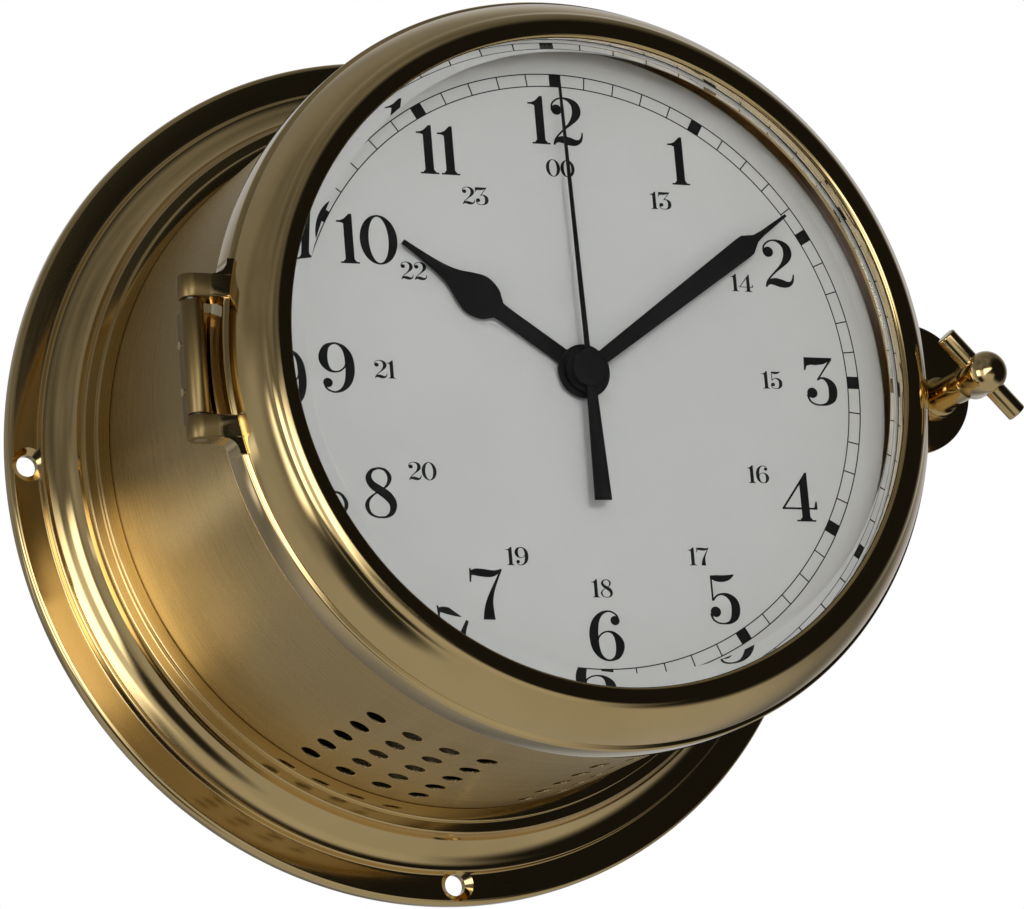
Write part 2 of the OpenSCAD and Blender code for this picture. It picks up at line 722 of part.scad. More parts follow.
module movement_housing() color(white_plastic) difference() {
    union() {
        difference() {
            block(-housing_half, housing_half, housing_bottom, housing_half, cover_front, housing_front);
            inner = housing_half - housing_wall;
            block(-inner, inner, -inner, inner, cover_front - 1, plate_rear);
            block(-inner, inner, housing_bottom + housing_wall, -housing_half, cover_front - 1, plate_rear);
        }
        corner_places(cover_screw_at) pin([0, 0], boss_r, cover_front, plate_rear + 0.5);
        pin([0, 0], bush_r, plate_rear, bush_front);
    }
    corner_places(cover_screw_at) pin([0, 0], cover_screw_r + fit_gap, cover_front - 1, cover_screw_tip + 2);
    pin([0, 0], hour_tube_r + running_gap, 60, 90);
    pin(motion_p, pivot_r + running_gap, 60, housing_front - 0.2);
    pin(setting_p, pivot_r + running_gap, 60, housing_front - 0.2);
}

module movement_cover() color(white_plastic) difference() {
    block(-housing_half, housing_half, -housing_half, housing_half, cover_rear, cover_front);
    pin([0, 0], second_shaft_r + running_gap, cover_rear + 0.4, 60);
    for (p = [third_p, motion_p, fifth_p, rotor_p]) pin(p, pivot_r + running_gap, cover_rear + 0.4, 60);
    pin(setting_p, arbor_r + 0.3 + running_gap, 50, 60);
    corner_places(cover_screw_at) pin([0, 0], cover_screw_r + 0.15, 50, 60);
}

module movement_cover_screws() color(steel)
    corner_places(cover_screw_at) screw([0, 0], cover_screw_r, cover_screw_head_r, cover_rear - cover_screw_head_t,
                                        cover_rear, cover_screw_tip);

module movement_pad() color(black) ring(bush_r + 0.2, 14, housing_front, dial_rear);

nut_r = hour_hub_r - 0.6;
nut_t = 0.8;

module centre_nut() color(black) difference() {
    at_depth(dial_face) cylinder(r = nut_r, h = nut_t, $fn = 6);
    pin([0, 0], bush_r, dial_face - 1, dial_face + 3);
}

module train_bridge() color(steel) difference() {
    half = housing_half - housing_wall;
    block(-half, half, bridge_bottom, bridge_top, bridge_rear, bridge_front);
    pin([0, 0], cannon_r + 0.2, 60, 70);
    for (p = [third_p, fifth_p, rotor_p]) pin(p, pivot_r + running_gap, 60, 70);
    pin(motion_p, arbor_r + 0.3, 60, 70);
}

stator_rear = 62.7;
stator_front = 64;
stator_left = -10;
stator_right = 22.5;
stator_top = -10;
stator_bottom = -19;
stator_foot = -25;
stator_leg = 4;
coil_z = -22.4;
coil_r = 2.4;
core_half = 0.6;

module motor_stator() color(steel) difference() {
    union() {
        block(stator_left, stator_right, stator_bottom, stator_top, stator_rear, stator_front);
        for (x = [stator_left, stator_right - stator_leg])
            block(x, x + stator_leg, stator_foot, stator_top, stator_rear, stator_front);
        block(stator_left, stator_right, coil_z - core_half, coil_z + core_half, stator_rear, stator_front);
    }
    pin(rotor_p, magnet_r + 0.5, 60, 70);
}

module motor_coil() color([0.55, 0.27, 0.12]) difference() {
    coil_depth = (stator_rear + stator_front) / 2;
    bar_x(stator_left + stator_leg + 0.4, stator_right - stator_leg - 0.4, coil_z, coil_depth, coil_r);
    block(stator_left, stator_right, coil_z - core_half - fit_gap, coil_z + core_half + fit_gap,
          stator_rear - fit_gap, stator_front + fit_gap);
}

circuit_left = -27;
circuit_right = -12.5;
circuit_bottom = -23;
circuit_top = -6;
circuit_t = 1.2;
circuit_face = cover_front + circuit_t;
chip_w = 5;
chip_t = 1.4;
crystal_can_r = 1.2;

// The board carries a chip and the round can of the time crystal
module circuit_board() color(green_board) {
    block(circuit_left, circuit_right, circuit_bottom, circuit_top, cover_front, circuit_face);
    translate([circuit_left + 4, 0, circuit_bottom + 4])
        block(0, chip_w, 0, chip_w, circuit_face, circuit_face + chip_t);
    bar_x(circuit_left + 2.5, circuit_right - 2.5, circuit_top - 3.5, circuit_face + 1, crystal_can_r);
}

module movement_battery() color([0.35, 0.35, 0.38]) {
    bar_x(-battery_half, battery_half - cell_cap_l, battery_z, battery_depth, battery_r);
    bar_x(battery_half - cell_cap_l, battery_half, battery_z, battery_depth, cell_cap_r);
}

contact_t = 0.4;
contact_reach = housing_half - housing_wall;

// A plate against each end of the cell, with a tab that reaches the housing's wall
module battery_contacts() color(steel) for (flip = [0, 1]) mirror([flip, 0, 0]) {
    block(battery_half, battery_half + contact_t, battery_z - 5, battery_z + 5,
          battery_depth - 6, battery_depth + 6);
    block(battery_half + contact_t, contact_reach, battery_z - 2, battery_z + 2,
          battery_depth - 1, battery_depth + 1);
}

// STRIKE UNIT
board_rear = 8;
board_front = 9.6;
cell_r = battery_r;
cell_half = battery_half;
cell_depth = 14;
cell_z = [22, 38];
box_wall = 1.4;
box_half = cell_half + 2;
board_half = 31;
board_bottom = -33;
board_top = 9;
sound_chip_from = [-8, -18];
sound_chip_to = [6, -6];
sound_chip_t = 2;
large_can_p = [16, -20];
large_can_r = 4;
large_can_h = 8;
small_can_p = [-16, -2];
small_can_r = 3;
small_can_h = 6;
standoff_x = 26;
standoff_z = [-28, 4];
standoff_r = 3;
standoff_neck_r = 1.5;
standoff_head_r = 2.6;
standoff_head_t = 1.2;

module standoff_places() for (x = [-standoff_x, standoff_x], z = standoff_z) translate([x, 0, z]) children();

module strike_board() color(green_board) difference() {
    union() {
        block(-board_half, board_half, board_bottom, board_top, board_rear, board_front);
        block(sound_chip_from[0], sound_chip_to[0], sound_chip_from[1], sound_chip_to[1],
              board_front, board_front + sound_chip_t);
        pin(large_can_p, large_can_r, board_front, board_front + large_can_h);
        pin(small_can_p, small_can_r, board_front, board_front + small_can_h);
    }
    standoff_places() pin([0, 0], standoff_neck_r + 0.1, 0, 20);
}

module board_standoffs() color(brass) standoff_places() {
    pin([0, 0], standoff_r, rear_cover_front, board_rear);
    pin([0, 0], standoff_neck_r, board_rear, board_front);
    pin([0, 0], standoff_head_r, board_front, board_front + standoff_head_t);
}

module strike_battery_box() color(black) difference() {
    block(-box_half - box_wall, box_half + box_wall, cell_z[0] - cell_r - 0.4 - box_wall,
          cell_z[1] + cell_r + 0.4 + box_wall, rear_cover_front, cell_depth + 2);
    block(-box_half, box_half, cell_z[0] - cell_r - 0.4, cell_z[1] + cell_r + 0.4,
          cell_depth - cell_r, cell_depth + 20);
}

module strike_cells() color([0.35, 0.35, 0.38]) for (z = cell_z) {
    bar_x(-cell_half, cell_half - cell_cap_l, z, cell_depth, cell_r);
    bar_x(cell_half - cell_cap_l, cell_half, z, cell_depth, cell_cap_r);
}

module strike_switch_body() color(black) difference() {
    switch_block([5, 4], switch_travel, rear_cover_front, 8);
    switch_block(switch_slot, switch_travel, 0, 4.5);
    switch_block(switch_pocket, switch_travel, 4.4, 6.6);
}

module strike_switch_slider() color(white_plastic) {
    switch_block(switch_knob, 0, 0.8, 4.8);
    switch_block(switch_foot, 0, 4.8, 6.2);
}

// SPEAKER
speaker_depth = 37;
speaker_r = 20;
speaker_face = -61.4;
speaker_flange_t = 1.2;
basket_top = -49;
basket_r = 12;
magnet_top = -41;
speaker_open_r = speaker_r - 3;
speaker_ear_r = 3.4;
speaker_screw_r = 1.25;
speaker_screw_head_r = 2.3;
speaker_screw_head_t = 1.2;

// Turns a profile of [radius, height] points about the speaker's upright axis
module speaker_turned() translate([0, -speaker_depth, 0]) rotate_extrude() children();

module speaker_screw_places() for (i = [0 : 3]) {
    p = polar(speaker_r + 2.4, 45 + i * 90);
    translate([p[0], -speaker_depth + p[1], 0]) children();
}

module speaker_frame() color(steel) difference() {
    union() {
        speaker_turned() polygon([
            [speaker_open_r, speaker_face], [speaker_r, speaker_face], [speaker_r, speaker_face + speaker_flange_t],
            [basket_r, basket_top], [0, basket_top], [0, basket_top - 1], [basket_r - 1, basket_top - 1]
        ]);
        speaker_screw_places() translate([0, 0, speaker_face]) cylinder(r = speaker_ear_r, h = speaker_flange_t);
    }
    speaker_screw_places() translate([0, 0, speaker_face - 1]) cylinder(r = speaker_screw_r + fit_gap, h = 6);
}

module speaker_cone() color(black) speaker_turned() polygon([
    [speaker_r - 4.4, speaker_face + 0.3], [speaker_r - 4.2, speaker_face + 1], [5, basket_top - 1.6],
    [0, basket_top - 1.6], [0, basket_top - 2.6], [4.6, basket_top - 2.6]
]);

module speaker_magnet() color(black) speaker_turned()
    translate([0, basket_top]) square([basket_r - 1, magnet_top - basket_top]);

bracket_half = [31, 22];
bracket_t = 1.4;

module speaker_bracket() color(steel) difference() {
    translate([-bracket_half[0], -speaker_depth - bracket_half[1], speaker_face - bracket_t])
        cube([2 * bracket_half[0], 2 * bracket_half[1], bracket_t]);
    translate([0, -speaker_depth, speaker_face - 4]) cylinder(r = speaker_open_r, h = 8);
    speaker_screw_places() translate([0, 0, speaker_face - 4]) cylinder(r = speaker_screw_r + fit_gap, h = 8);
}

module speaker_screws() color(steel) speaker_screw_places() {
    translate([0, 0, speaker_face - 2.2]) cylinder(r = speaker_screw_r, h = speaker_flange_t + 2.2);
    translate([0, 0, speaker_face + speaker_flange_t])
        cylinder(r = speaker_screw_head_r, h = speaker_screw_head_t);
}

wall_flange();
case_drum();
rear_ring();
rear_cover();
rear_cover_screws();
dial_support_ring();
dial_plate();
dial_screws();
case_seal();
hinge_bracket();
hinge_rivets();
hinge_pin();
case_lock_lug();
bezel_ring();
crystal();
crystal_front_gasket();
crystal_rear_gasket();
glass_retainer();
lock_washer();
thumbscrew();
thumbscrew_bar();
hour_hand();
minute_hand();
second_hand();
movement_housing();
movement_cover();
movement_cover_screws();
movement_pad();
centre_nut();
train_bridge();
second_wheel();
third_wheel();
minute_wheel();
motion_wheel();
hour_wheel();
fifth_wheel();
rotor();
setting_knob();
motor_stator();
motor_coil();
circuit_board();
movement_battery();
battery_contacts();
strike_board();
board_standoffs();
strike_battery_box();
strike_cells();
strike_switch_body();
strike_switch_slider();
speaker_frame();
speaker_cone();
speaker_magnet();
speaker_bracket();
speaker_screws();
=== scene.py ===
"""Marine wall clock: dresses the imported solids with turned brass, a printed dial and bevelled glass.

Sizes in the classes are millimetres in the clock's own axes: x towards three o'clock, y towards
twelve o'clock and depth from the wall towards the viewer. Angles are degrees. The finishes are in
metres, as a shader's coordinates are.
"""
import json
import logging
import math
from dataclasses import dataclass, field
from enum import Enum
from typing import Any, Dict, Iterable, List, Optional, Sequence, Tuple, Union

import bmesh
import bpy
from mathutils import Matrix, Vector
from mathutils.geometry import delaunay_2d_cdt


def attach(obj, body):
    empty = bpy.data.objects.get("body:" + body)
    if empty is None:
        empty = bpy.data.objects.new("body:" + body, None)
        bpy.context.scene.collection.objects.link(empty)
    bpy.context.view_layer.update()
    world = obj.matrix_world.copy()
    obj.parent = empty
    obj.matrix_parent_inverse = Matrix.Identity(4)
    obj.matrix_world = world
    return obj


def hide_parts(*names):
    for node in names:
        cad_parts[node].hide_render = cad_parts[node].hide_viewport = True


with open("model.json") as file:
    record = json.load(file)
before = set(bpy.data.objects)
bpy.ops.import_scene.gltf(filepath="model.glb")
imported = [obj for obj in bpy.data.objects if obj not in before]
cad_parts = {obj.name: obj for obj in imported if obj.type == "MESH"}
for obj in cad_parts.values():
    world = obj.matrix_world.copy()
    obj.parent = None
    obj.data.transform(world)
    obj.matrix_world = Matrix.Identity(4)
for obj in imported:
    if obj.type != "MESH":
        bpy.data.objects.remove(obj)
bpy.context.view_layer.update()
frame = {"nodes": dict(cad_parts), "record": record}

LOG = logging.getLogger("marine_clock")
MM = 0.001
SEGMENTS = 256
CREASE = 32.0  # edges bent by more than this stay sharp
END_CREASE = 12.0  # the same, between a flat end and its bevel
FLAT_END = 0.99999  # a unit normal with a part larger than this lies along an axis
BEVEL_FROM = 50.0  # edges bent by more than this are bevelled
MOST_EASE = 0.49  # the largest share of a side that one corner's rounding takes
ON_AXIS = 1e-6  # a profile's point nearer to the axis than this is one vertex
SAME_SPOT = 1e-5  # points of an outline nearer than this are joined
STRAIGHT = 0.002  # edges bent by less than this many radians are dissolved

DRUM_RADIUS = 72.0
DRUM_FIT = DRUM_RADIUS + 0.05  # where pieces round the drum begin
HINGE_OFFSET = 79.2  # from the clock's axis to the hinge pin
HINGE_DEPTH = 81.9
LOCK_OFFSET = 79.2  # from the clock's axis to the lock screw
LOCK_ANGLE = -1.5
LUG_OFFSET = 73.5  # from the clock's axis to the centre of both lock lugs

Point = Tuple[float, float]
Loop = List[Point]
Colour = Tuple[float, float, float, float]


class Body(str, Enum):
    """The bodies that the pieces made here ride on."""

    CASE = "case"
    BEZEL = "bezel"
    COLLAR = "lock_collar"
    SCREW = "lock_screw"
    SECOND = "second_arbor"
    MINUTE = "minute_cannon"
    HOUR = "hour_tube"


class Slot(str, Enum):
    """The record's material slots."""

    POLISHED = "polished_brass"
    SATIN = "satin_brass"
    PLAIN = "plain_brass"
    STEEL = "steel"
    ENAMEL = "dial_enamel"
    BLACK = "hand_black"
    RUBBER = "rubber"
    GLASS = "crystal_glass"
    WHITE_PLASTIC = "white_plastic"
    BLACK_PLASTIC = "black_plastic"
    BOARD = "board_green"
    COPPER = "coil_copper"
    JACKET = "cell_jacket"
    PAPER = "cone_paper"


class Wire:
    """One output of a shader graph, with the arithmetic that adds Math nodes."""

    def __init__(self, graph: "Graph", socket: Optional[bpy.types.NodeSocket]) -> None:
        """Keeps the graph and the socket."""
        self.graph = graph
        self.socket = socket

    def _math(self, operation: str, first: "Value", second: "Value") -> "Wire":
        """Adds one Math node."""
        return self.graph.node("ShaderNodeMath", {"operation": operation}, {0: first, 1: second})

    def __add__(self, other: "Value") -> "Wire":
        """Adds a value."""
        return self._math("ADD", self, other)

    def __radd__(self, other: "Value") -> "Wire":
        """Adds to a value."""
        return self._math("ADD", other, self)

    def __sub__(self, other: "Value") -> "Wire":
        """Takes a value away."""
        return self._math("SUBTRACT", self, other)

    def __rsub__(self, other: "Value") -> "Wire":
        """Takes this from a value."""
        return self._math("SUBTRACT", other, self)

    def __mul__(self, other: "Value") -> "Wire":
        """Multiplies by a value."""
        return self._math("MULTIPLY", self, other)

    def __rmul__(self, other: "Value") -> "Wire":
        """Multiplies a value."""
        return self._math("MULTIPLY", other, self)

    def most(self, other: "Value") -> "Wire":
        """The larger of two values."""
        return self._math("MAXIMUM", self, other)

    def ramp(self, low: float, high: float) -> "Wire":
        """Maps low to 0 and high to 1, smoothly and within those ends."""
        settings = {"interpolation_type": "SMOOTHSTEP"}
        return self.graph.node("ShaderNodeMapRange", settings, {0: self, 1: low, 2: high, 3: 0.0, 4: 1.0})


Value = Union[Wire, float]


class Graph:
    """The node tree of a material or a world, built by expressions."""

    def __init__(self, name: str, holders: Any = None) -> None:
        """Starts an empty tree.

        Args:
            name: the name of the material or world.
            holders: the list that it joins, if that isn't the list of materials.
        """
        self.holder = (bpy.data.materials if holders is None else holders).new(name)
        self.holder.use_nodes = True
        self.tree = self.holder.node_tree
        self.tree.nodes.clear()

    def node(
        self,
        kind: str,
        settings: Optional[Dict[str, Any]] = None,
        inputs: Optional[Dict[Union[int, str], Any]] = None,
        output: Union[int, str] = 0,
    ) -> Wire:
        """Adds a node.

        Args:
            kind: the node's type.
            settings: its own settings, which are set first.
            inputs: values or wires for its sockets.
            output: the output to return.

        Returns:
            That output as a wire, which is empty for a node without outputs.
        """
        made = self.tree.nodes.new(kind)
        for key, value in (settings or {}).items():
            setattr(made, key, value)
        for key, value in (inputs or {}).items():
            if isinstance(value, Wire):
                self.tree.links.new(value.socket, made.inputs[key])
            else:
                made.inputs[key].default_value = value
        return Wire(self, made.outputs[output] if made.outputs else None)

    def place(self) -> Wire:
        """The point on the piece, in metres in the piece's own axes."""
        return self.node("ShaderNodeTexCoord", output="Object")

    def vector(self, operation: str, first: Wire, second: Any = None, output: Union[int, str] = 0) -> Wire:
        """Adds a Vector Math node.

        Args:
            operation: what it works out.
            first: its first vector.
            second: its second vector, where it takes one.
            output: the output to return.

        Returns:
            That output as a wire.
        """
        inputs = {0: first} if second is None else {0: first, 1: second}
        return self.node("ShaderNodeVectorMath", {"operation": operation}, inputs, output)

    def axis(self, vector: Wire, name: str) -> Wire:
        """One part of a vector: X, Y or Z."""
        return self.node("ShaderNodeSeparateXYZ", None, {0: vector}, name)

    def rays(self, *kinds: str) -> Wire:
        """Tells rays apart.

        Args:
            kinds: names of outputs of the Light Path node.

        Returns:
            1 for a ray of any of these kinds and 0 for others.
        """
        first, *others = (self.node("ShaderNodeLightPath", output=kind) for kind in kinds)
        for other in others:
            first = first.most(other)
        return first

    def noise(self, place: Wire, scale: float, detail: float = 3.0) -> Wire:
        """Cloudy noise between 0 and 1."""
        return self.node("ShaderNodeTexNoise", None, {"Vector": place, "Scale": scale, "Detail": detail})

    def lines(self, place: Wire, fineness: float, along: float, detail: float = 3.0) -> Wire:
        """Noise drawn out along the lines of a piece turned about its own Z axis.

        Args:
            place: the point on the piece.
            fineness: scale across the turning lines.
            along: scale along them.
            detail: the noise's detail.

        Returns:
            Noise between 0 and 1.
        """
        flat = self.vector("MULTIPLY", place, (1.0, 1.0, 0.0))
        radius = self.vector("LENGTH", flat, output="Value")
        across = (radius + self.axis(place, "Z")) * fineness
        swept = self.vector("MULTIPLY", self.vector("NORMALIZE", flat), (along, along, 0.0))
        stacked = self.node("ShaderNodeCombineXYZ", None, {2: across})
        return self.noise(self.vector("ADD", swept, stacked), 1.0, detail)

    def blend(self, factor: Value, first: Any, second: Any) -> Wire:
        """Mixes two colours."""
        return self.node("ShaderNodeMix", {"data_type": "RGBA"}, {0: factor, 6: first, 7: second}, 2)

    def bump(self, height: Wire, strength: float, distance: float) -> Wire:
        """A normal from a height in units of distance."""
        inputs = {"Height": height, "Strength": strength, "Distance": distance}
        return self.node("ShaderNodeBump", None, inputs, "Normal")

    def surface(self, **sockets: Any) -> bpy.types.Material:
        """Ends the graph in a Principled shader.

        Args:
            sockets: values or wires by the name of the socket, with _ for spaces.

        Returns:
            The material.
        """
        inputs = {key.replace("_", " "): value for key, value in sockets.items()}
        shader = self.node("ShaderNodeBsdfPrincipled", None, inputs, "BSDF")
        self.node("ShaderNodeOutputMaterial", None, {"Surface": shader})
        return self.holder


def tint(red: float, green: float, blue: float) -> Colour:
    """A linear colour.

    Args:
        red: display value of red, from 0 to 255.
        green: display value of green.
        blue: display value of blue.

    Returns:
        The colour.
    """
    def linear(value: float) -> float:
        """One display value made linear."""
        share = value / 255.0
        return share / 12.92 if share <= 0.04045 else ((share + 0.055) / 1.055) ** 2.4
    return (linear(red), linear(green), linear(blue), 1.0)


@dataclass(frozen=True)
class PolishedBrass:
    """Mirror-polished, lacquered brass with faint smears and a warm patina, rougher at the hinge, where its
    colour is also darkened as painted shade.

    The hinge's rougher part with its painted shade fades in over a range across the clock and over a range of
    depth, both in metres.
    """

    name: str = "polished_brass"
    clean: Colour = (0.79, 0.58, 0.25, 1.0)
    warm: Colour = (0.67, 0.47, 0.19, 1.0)
    lacquer: float = 1.0
    smooth: float = 0.08
    smear: float = 0.12
    patina_scale: float = 45.0
    patina_range: Point = (0.35, 0.75)
    patina_share: float = 0.55
    patina_rough: float = 0.015
    wiped_lines: Point = (900.0, 6.0)
    wiped_range: Point = (0.4, 0.8)
    hair_lines: Point = (9000.0, 9.0)
    hair_relief: Point = (0.05, 0.00002)
    hinge_across: Point = (-0.0768, -0.0752)
    hinge_depth: Point = (0.05, 0.06)
    hinge_rough: float = 0.3
    # share of the colour left at the hinge: painted shade
    hinge_dark: float = 0.5
    hinge_bare: float = 0.8

    def material(self) -> bpy.types.Material:
        """Builds the material.

        Returns:
            The material.
        """
        graph = Graph(self.name)
        place = graph.place()
        patina = graph.noise(place, self.patina_scale, 4.0).ramp(*self.patina_range)
        wiped = graph.lines(place, *self.wiped_lines).ramp(*self.wiped_range)
        hairlines = graph.lines(place, *self.hair_lines, 2.0)
        left = 1.0 - graph.axis(place, "X").ramp(*self.hinge_across)
        hinge = left * graph.axis(place, "Z").ramp(*self.hinge_depth)
        polished = graph.blend(patina * self.patina_share, self.clean, self.warm)
        # painted shade: tarnish is the hinge's darkened colour, while the added roughness and thinner lacquer
        # there are a duller finish
        tarnish = tuple(part * self.hinge_dark for part in self.warm[:3]) + (1.0,)
        rough = self.smooth + wiped * (self.smear - self.smooth) + patina * self.patina_rough
        return graph.surface(
            Base_Color=graph.blend(hinge, polished, tarnish),
            Metallic=1.0,
            Roughness=rough + hinge * self.hinge_rough,
            Coat_Weight=self.lacquer * (1.0 - hinge * self.hinge_bare),
            Normal=graph.bump(hairlines, *self.hair_relief),
        )


@dataclass(frozen=True)
class SatinBrass:
    """Brass brushed with fine lines round the clock's axis."""

    name: str = "satin_brass"
    light: Colour = (0.70, 0.53, 0.26, 1.0)
    dark: Colour = (0.56, 0.41, 0.19, 1.0)
    rough: float = 0.28
    spread: float = 0.92
    lines_across: float = 0.25
    fine_lines: Point = (6500.0, 5.0)
    fine_share: float = 0.55
    fine_rough: float = 0.10
    coarse_lines: Point = (1100.0, 2.5)
    coarse_share: float = 0.3
    coarse_rough: float = 0.06
    patch_scale: float = 22.0
    patch_share: float = 0.35
    light_range: Point = (0.3, 0.9)
    relief_shares: Point = (0.7, 0.3)
    relief: Point = (0.16, 0.00003)

    def material(self) -> bpy.types.Material:
        """Builds the material.

        Returns:
            The material.
        """
        graph = Graph(self.name)
        place = graph.place()
        fine = graph.lines(place, *self.fine_lines, 4.0)
        coarse = graph.lines(place, *self.coarse_lines)
        patches = graph.noise(place, self.patch_scale)
        mixed = fine * self.fine_share + coarse * self.coarse_share + patches * self.patch_share
        height = fine * self.relief_shares[0] + coarse * self.relief_shares[1]
        return graph.surface(
            Base_Color=graph.blend(mixed.ramp(*self.light_range), self.dark, self.light),
            Metallic=1.0,
            Roughness=self.rough + (fine - 0.5) * self.fine_rough + (coarse - 0.5) * self.coarse_rough,
            Anisotropic=self.spread,
            Anisotropic_Rotation=self.lines_across,
            Normal=graph.bump(height, *self.relief),
        )


@dataclass(frozen=True)
class TurnedBrass:
    """Plain brass left as it came off the lathe, dulled by air."""

    name: str = "plain_brass"
    light: Colour = (0.68, 0.51, 0.25, 1.0)
    dull: Colour = (0.42, 0.28, 0.12, 1.0)
    rough: float = 0.3
    turned_lines: Point = (2600.0, 3.0)
    turned_rough: float = 0.12
    tarnish_scale: float = 60.0
    tarnish_range: Point = (0.42, 0.78)
    tarnish_share: float = 0.6
    tarnish_rough: float = 0.1
    relief: Point = (0.2, 0.00004)

    def material(self) -> bpy.types.Material:
        """Builds the material.

        Returns:
            The material.
        """
        graph = Graph(self.name)
        place = graph.place()
        lines = graph.lines(place, *self.turned_lines)
        tarnish = graph.noise(place, self.tarnish_scale, 5.0).ramp(*self.tarnish_range)
        return graph.surface(
            Base_Color=graph.blend(tarnish * self.tarnish_share, self.light, self.dull),
            Metallic=1.0,
            Roughness=self.rough + lines * self.turned_rough + tarnish * self.tarnish_rough,
            Normal=graph.bump(lines, *self.relief),
        )


@dataclass(frozen=True)
class BareMetal:
    """Plated steel or bare copper with fine scratches."""

    name: str
    bright: Colour
    dull: Colour
    rough: float = 0.28
    scratch_scale: Tuple[float, float, float] = (900.0, 5200.0, 900.0)
    scratch_rough: float = 0.14
    stain_scale: float = 90.0
    stain_range: Point = (0.4, 0.8)
    stain_share: float = 0.7
    relief: Point = (0.12, 0.00003)

    def material(self) -> bpy.types.Material:
        """Builds the material.

        Returns:
            The material.
        """
        graph = Graph(self.name)
        place = graph.place()
        scratches = graph.noise(graph.vector("MULTIPLY", place, self.scratch_scale), 1.0)
        stains = graph.noise(place, self.stain_scale, 4.0).ramp(*self.stain_range)
        return graph.surface(
            Base_Color=graph.blend(stains * self.stain_share, self.bright, self.dull),
            Metallic=1.0,
            Roughness=self.rough + scratches * self.scratch_rough,
            Normal=graph.bump(scratches, *self.relief),
        )


@dataclass(frozen=True)
class Coated:
    """Paint, print, plastic, rubber, paper or board: a body colour with a fine grain and faint stains."""

    name: str
    body: Colour
    shade: Colour
    rough: float = 0.5
    grain: float = 2500.0
    relief: float = 0.00003
    gloss: float = 0.0
    shine: float = 0.5
    grain_share: float = 0.4
    grain_rough: float = 0.12
    cloud_scale: float = 35.0
    cloud_share: float = 0.6
    shade_range: Point = (0.35, 0.75)
    relief_strength: float = 0.15

    def material(self) -> bpy.types.Material:
        """Builds the material.

        Returns:
            The material.
        """
        graph = Graph(self.name)
        place = graph.place()
        speckle = graph.noise(place, self.grain, 2.0)
        clouds = graph.noise(place, self.cloud_scale, 4.0)
        mixed = speckle * self.grain_share + clouds * self.cloud_share
        return graph.surface(
            Base_Color=graph.blend(mixed.ramp(*self.shade_range), self.body, self.shade),
            Roughness=self.rough + (speckle - 0.5) * self.grain_rough,
            Coat_Weight=self.gloss,
            Specular_IOR_Level=self.shine,
            Normal=graph.bump(speckle, self.relief_strength, self.relief),
        )


@dataclass(frozen=True)
class ClearGlass:
    """Clear, bloomed glass, which reflects little, with the faintest dust on it."""

    name: str = "crystal_glass"
    index: float = 1.52
    dust: float = 0.012
    dust_scale: float = 700.0
    dust_range: Point = (0.72, 0.85)
    bloom: float = 0.35

    def material(self) -> bpy.types.Material:
        """Builds the material.

        Returns:
            The material.
        """
        graph = Graph(self.name)
        specks = graph.noise(graph.place(), self.dust_scale, 2.0).ramp(*self.dust_range)
        return graph.surface(
            Base_Color=(1.0, 1.0, 1.0, 1.0),
            Roughness=specks * self.dust,
            IOR=self.index,
            Transmission_Weight=1.0,
            Specular_Tint=(self.bloom, self.bloom, self.bloom, 1.0),
        )


class Finishes:
    """One material for each of the record's slots, under the slot's name."""

    def __init__(self) -> None:
        """Builds every material."""
        finishes = (
            PolishedBrass(),
            SatinBrass(),
            TurnedBrass(),
            BareMetal("steel", (0.60, 0.61, 0.63, 1.0), (0.42, 0.42, 0.43, 1.0)),
            BareMetal("coil_copper", (0.72, 0.36, 0.2, 1.0), (0.5, 0.2, 0.1, 1.0)),
            Coated("dial_enamel", tint(168, 169, 166), tint(164, 165, 162), 0.55, 5000.0, 4e-6, shine=0.2),
            Coated("hand_black", tint(18, 18, 18), tint(24, 24, 24), 0.55, 4000.0, 1e-5, shine=0.06),
            Coated("rubber", tint(22, 22, 22), tint(36, 36, 35), 0.7),
            ClearGlass(),
            Coated("white_plastic", tint(226, 225, 218), tint(216, 214, 205), 0.42),
            Coated("black_plastic", tint(28, 28, 29), tint(40, 40, 41), 0.45),
            Coated("board_green", tint(32, 96, 58), tint(24, 78, 46), 0.38, 1200.0),
            Coated("cell_jacket", tint(52, 54, 60), tint(38, 40, 46), 0.3, 600.0, gloss=0.4),
            Coated("cone_paper", tint(38, 36, 34), tint(52, 49, 45), 0.85, 900.0, 0.0001),
        )
        self.by_slot = {Slot(finish.name): finish.material() for finish in finishes}

    def dress_nodes(self) -> None:
        """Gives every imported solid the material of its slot."""
        for row in frame["record"]["subparts"]:
            node = frame["nodes"][row["node"]]
            material = self.by_slot[Slot(row["material_slot"])]
            if not node.material_slots:
                node.data.materials.append(material)
            for slot in node.material_slots:
                slot.material = material


def arc(centre: Point, radii: Union[float, Point], start: float, end: float, steps: int = 12) -> Loop:
    """Points on a circle or an ellipse.

    Args:
        centre: its centre.
        radii: its radius, or its two radii.
        start: first angle.
        end: last angle.
        steps: number of steps between them.

    Returns:
        The points, both ends included.
    """
    wide, high = radii if isinstance(radii, tuple) else (radii, radii)
    angles = [math.radians(start + (end - start) * i / steps) for i in range(steps + 1)]
    return [(centre[0] + wide * math.cos(a), centre[1] + high * math.sin(a)) for a in angles]


def circle(centre: Point, radius: float, steps: int = 48) -> Loop:
    """Points round a circle, without the last one again."""
    return arc(centre, radius, 0.0, 360.0, steps)[:-1]


def polar(radius: float, angle: float) -> Point:
    """A point at a counter-clockwise angle from three o'clock."""
    return (radius * math.cos(math.radians(angle)), radius * math.sin(math.radians(angle)))


def ribbon(outer: Loop, inner: Loop) -> List[Loop]:
    """The band between two rows of points as a chain of four-sided loops."""
    return [[outer[i], outer[i + 1], inner[i + 1], inner[i]] for i in range(len(outer) - 1)]


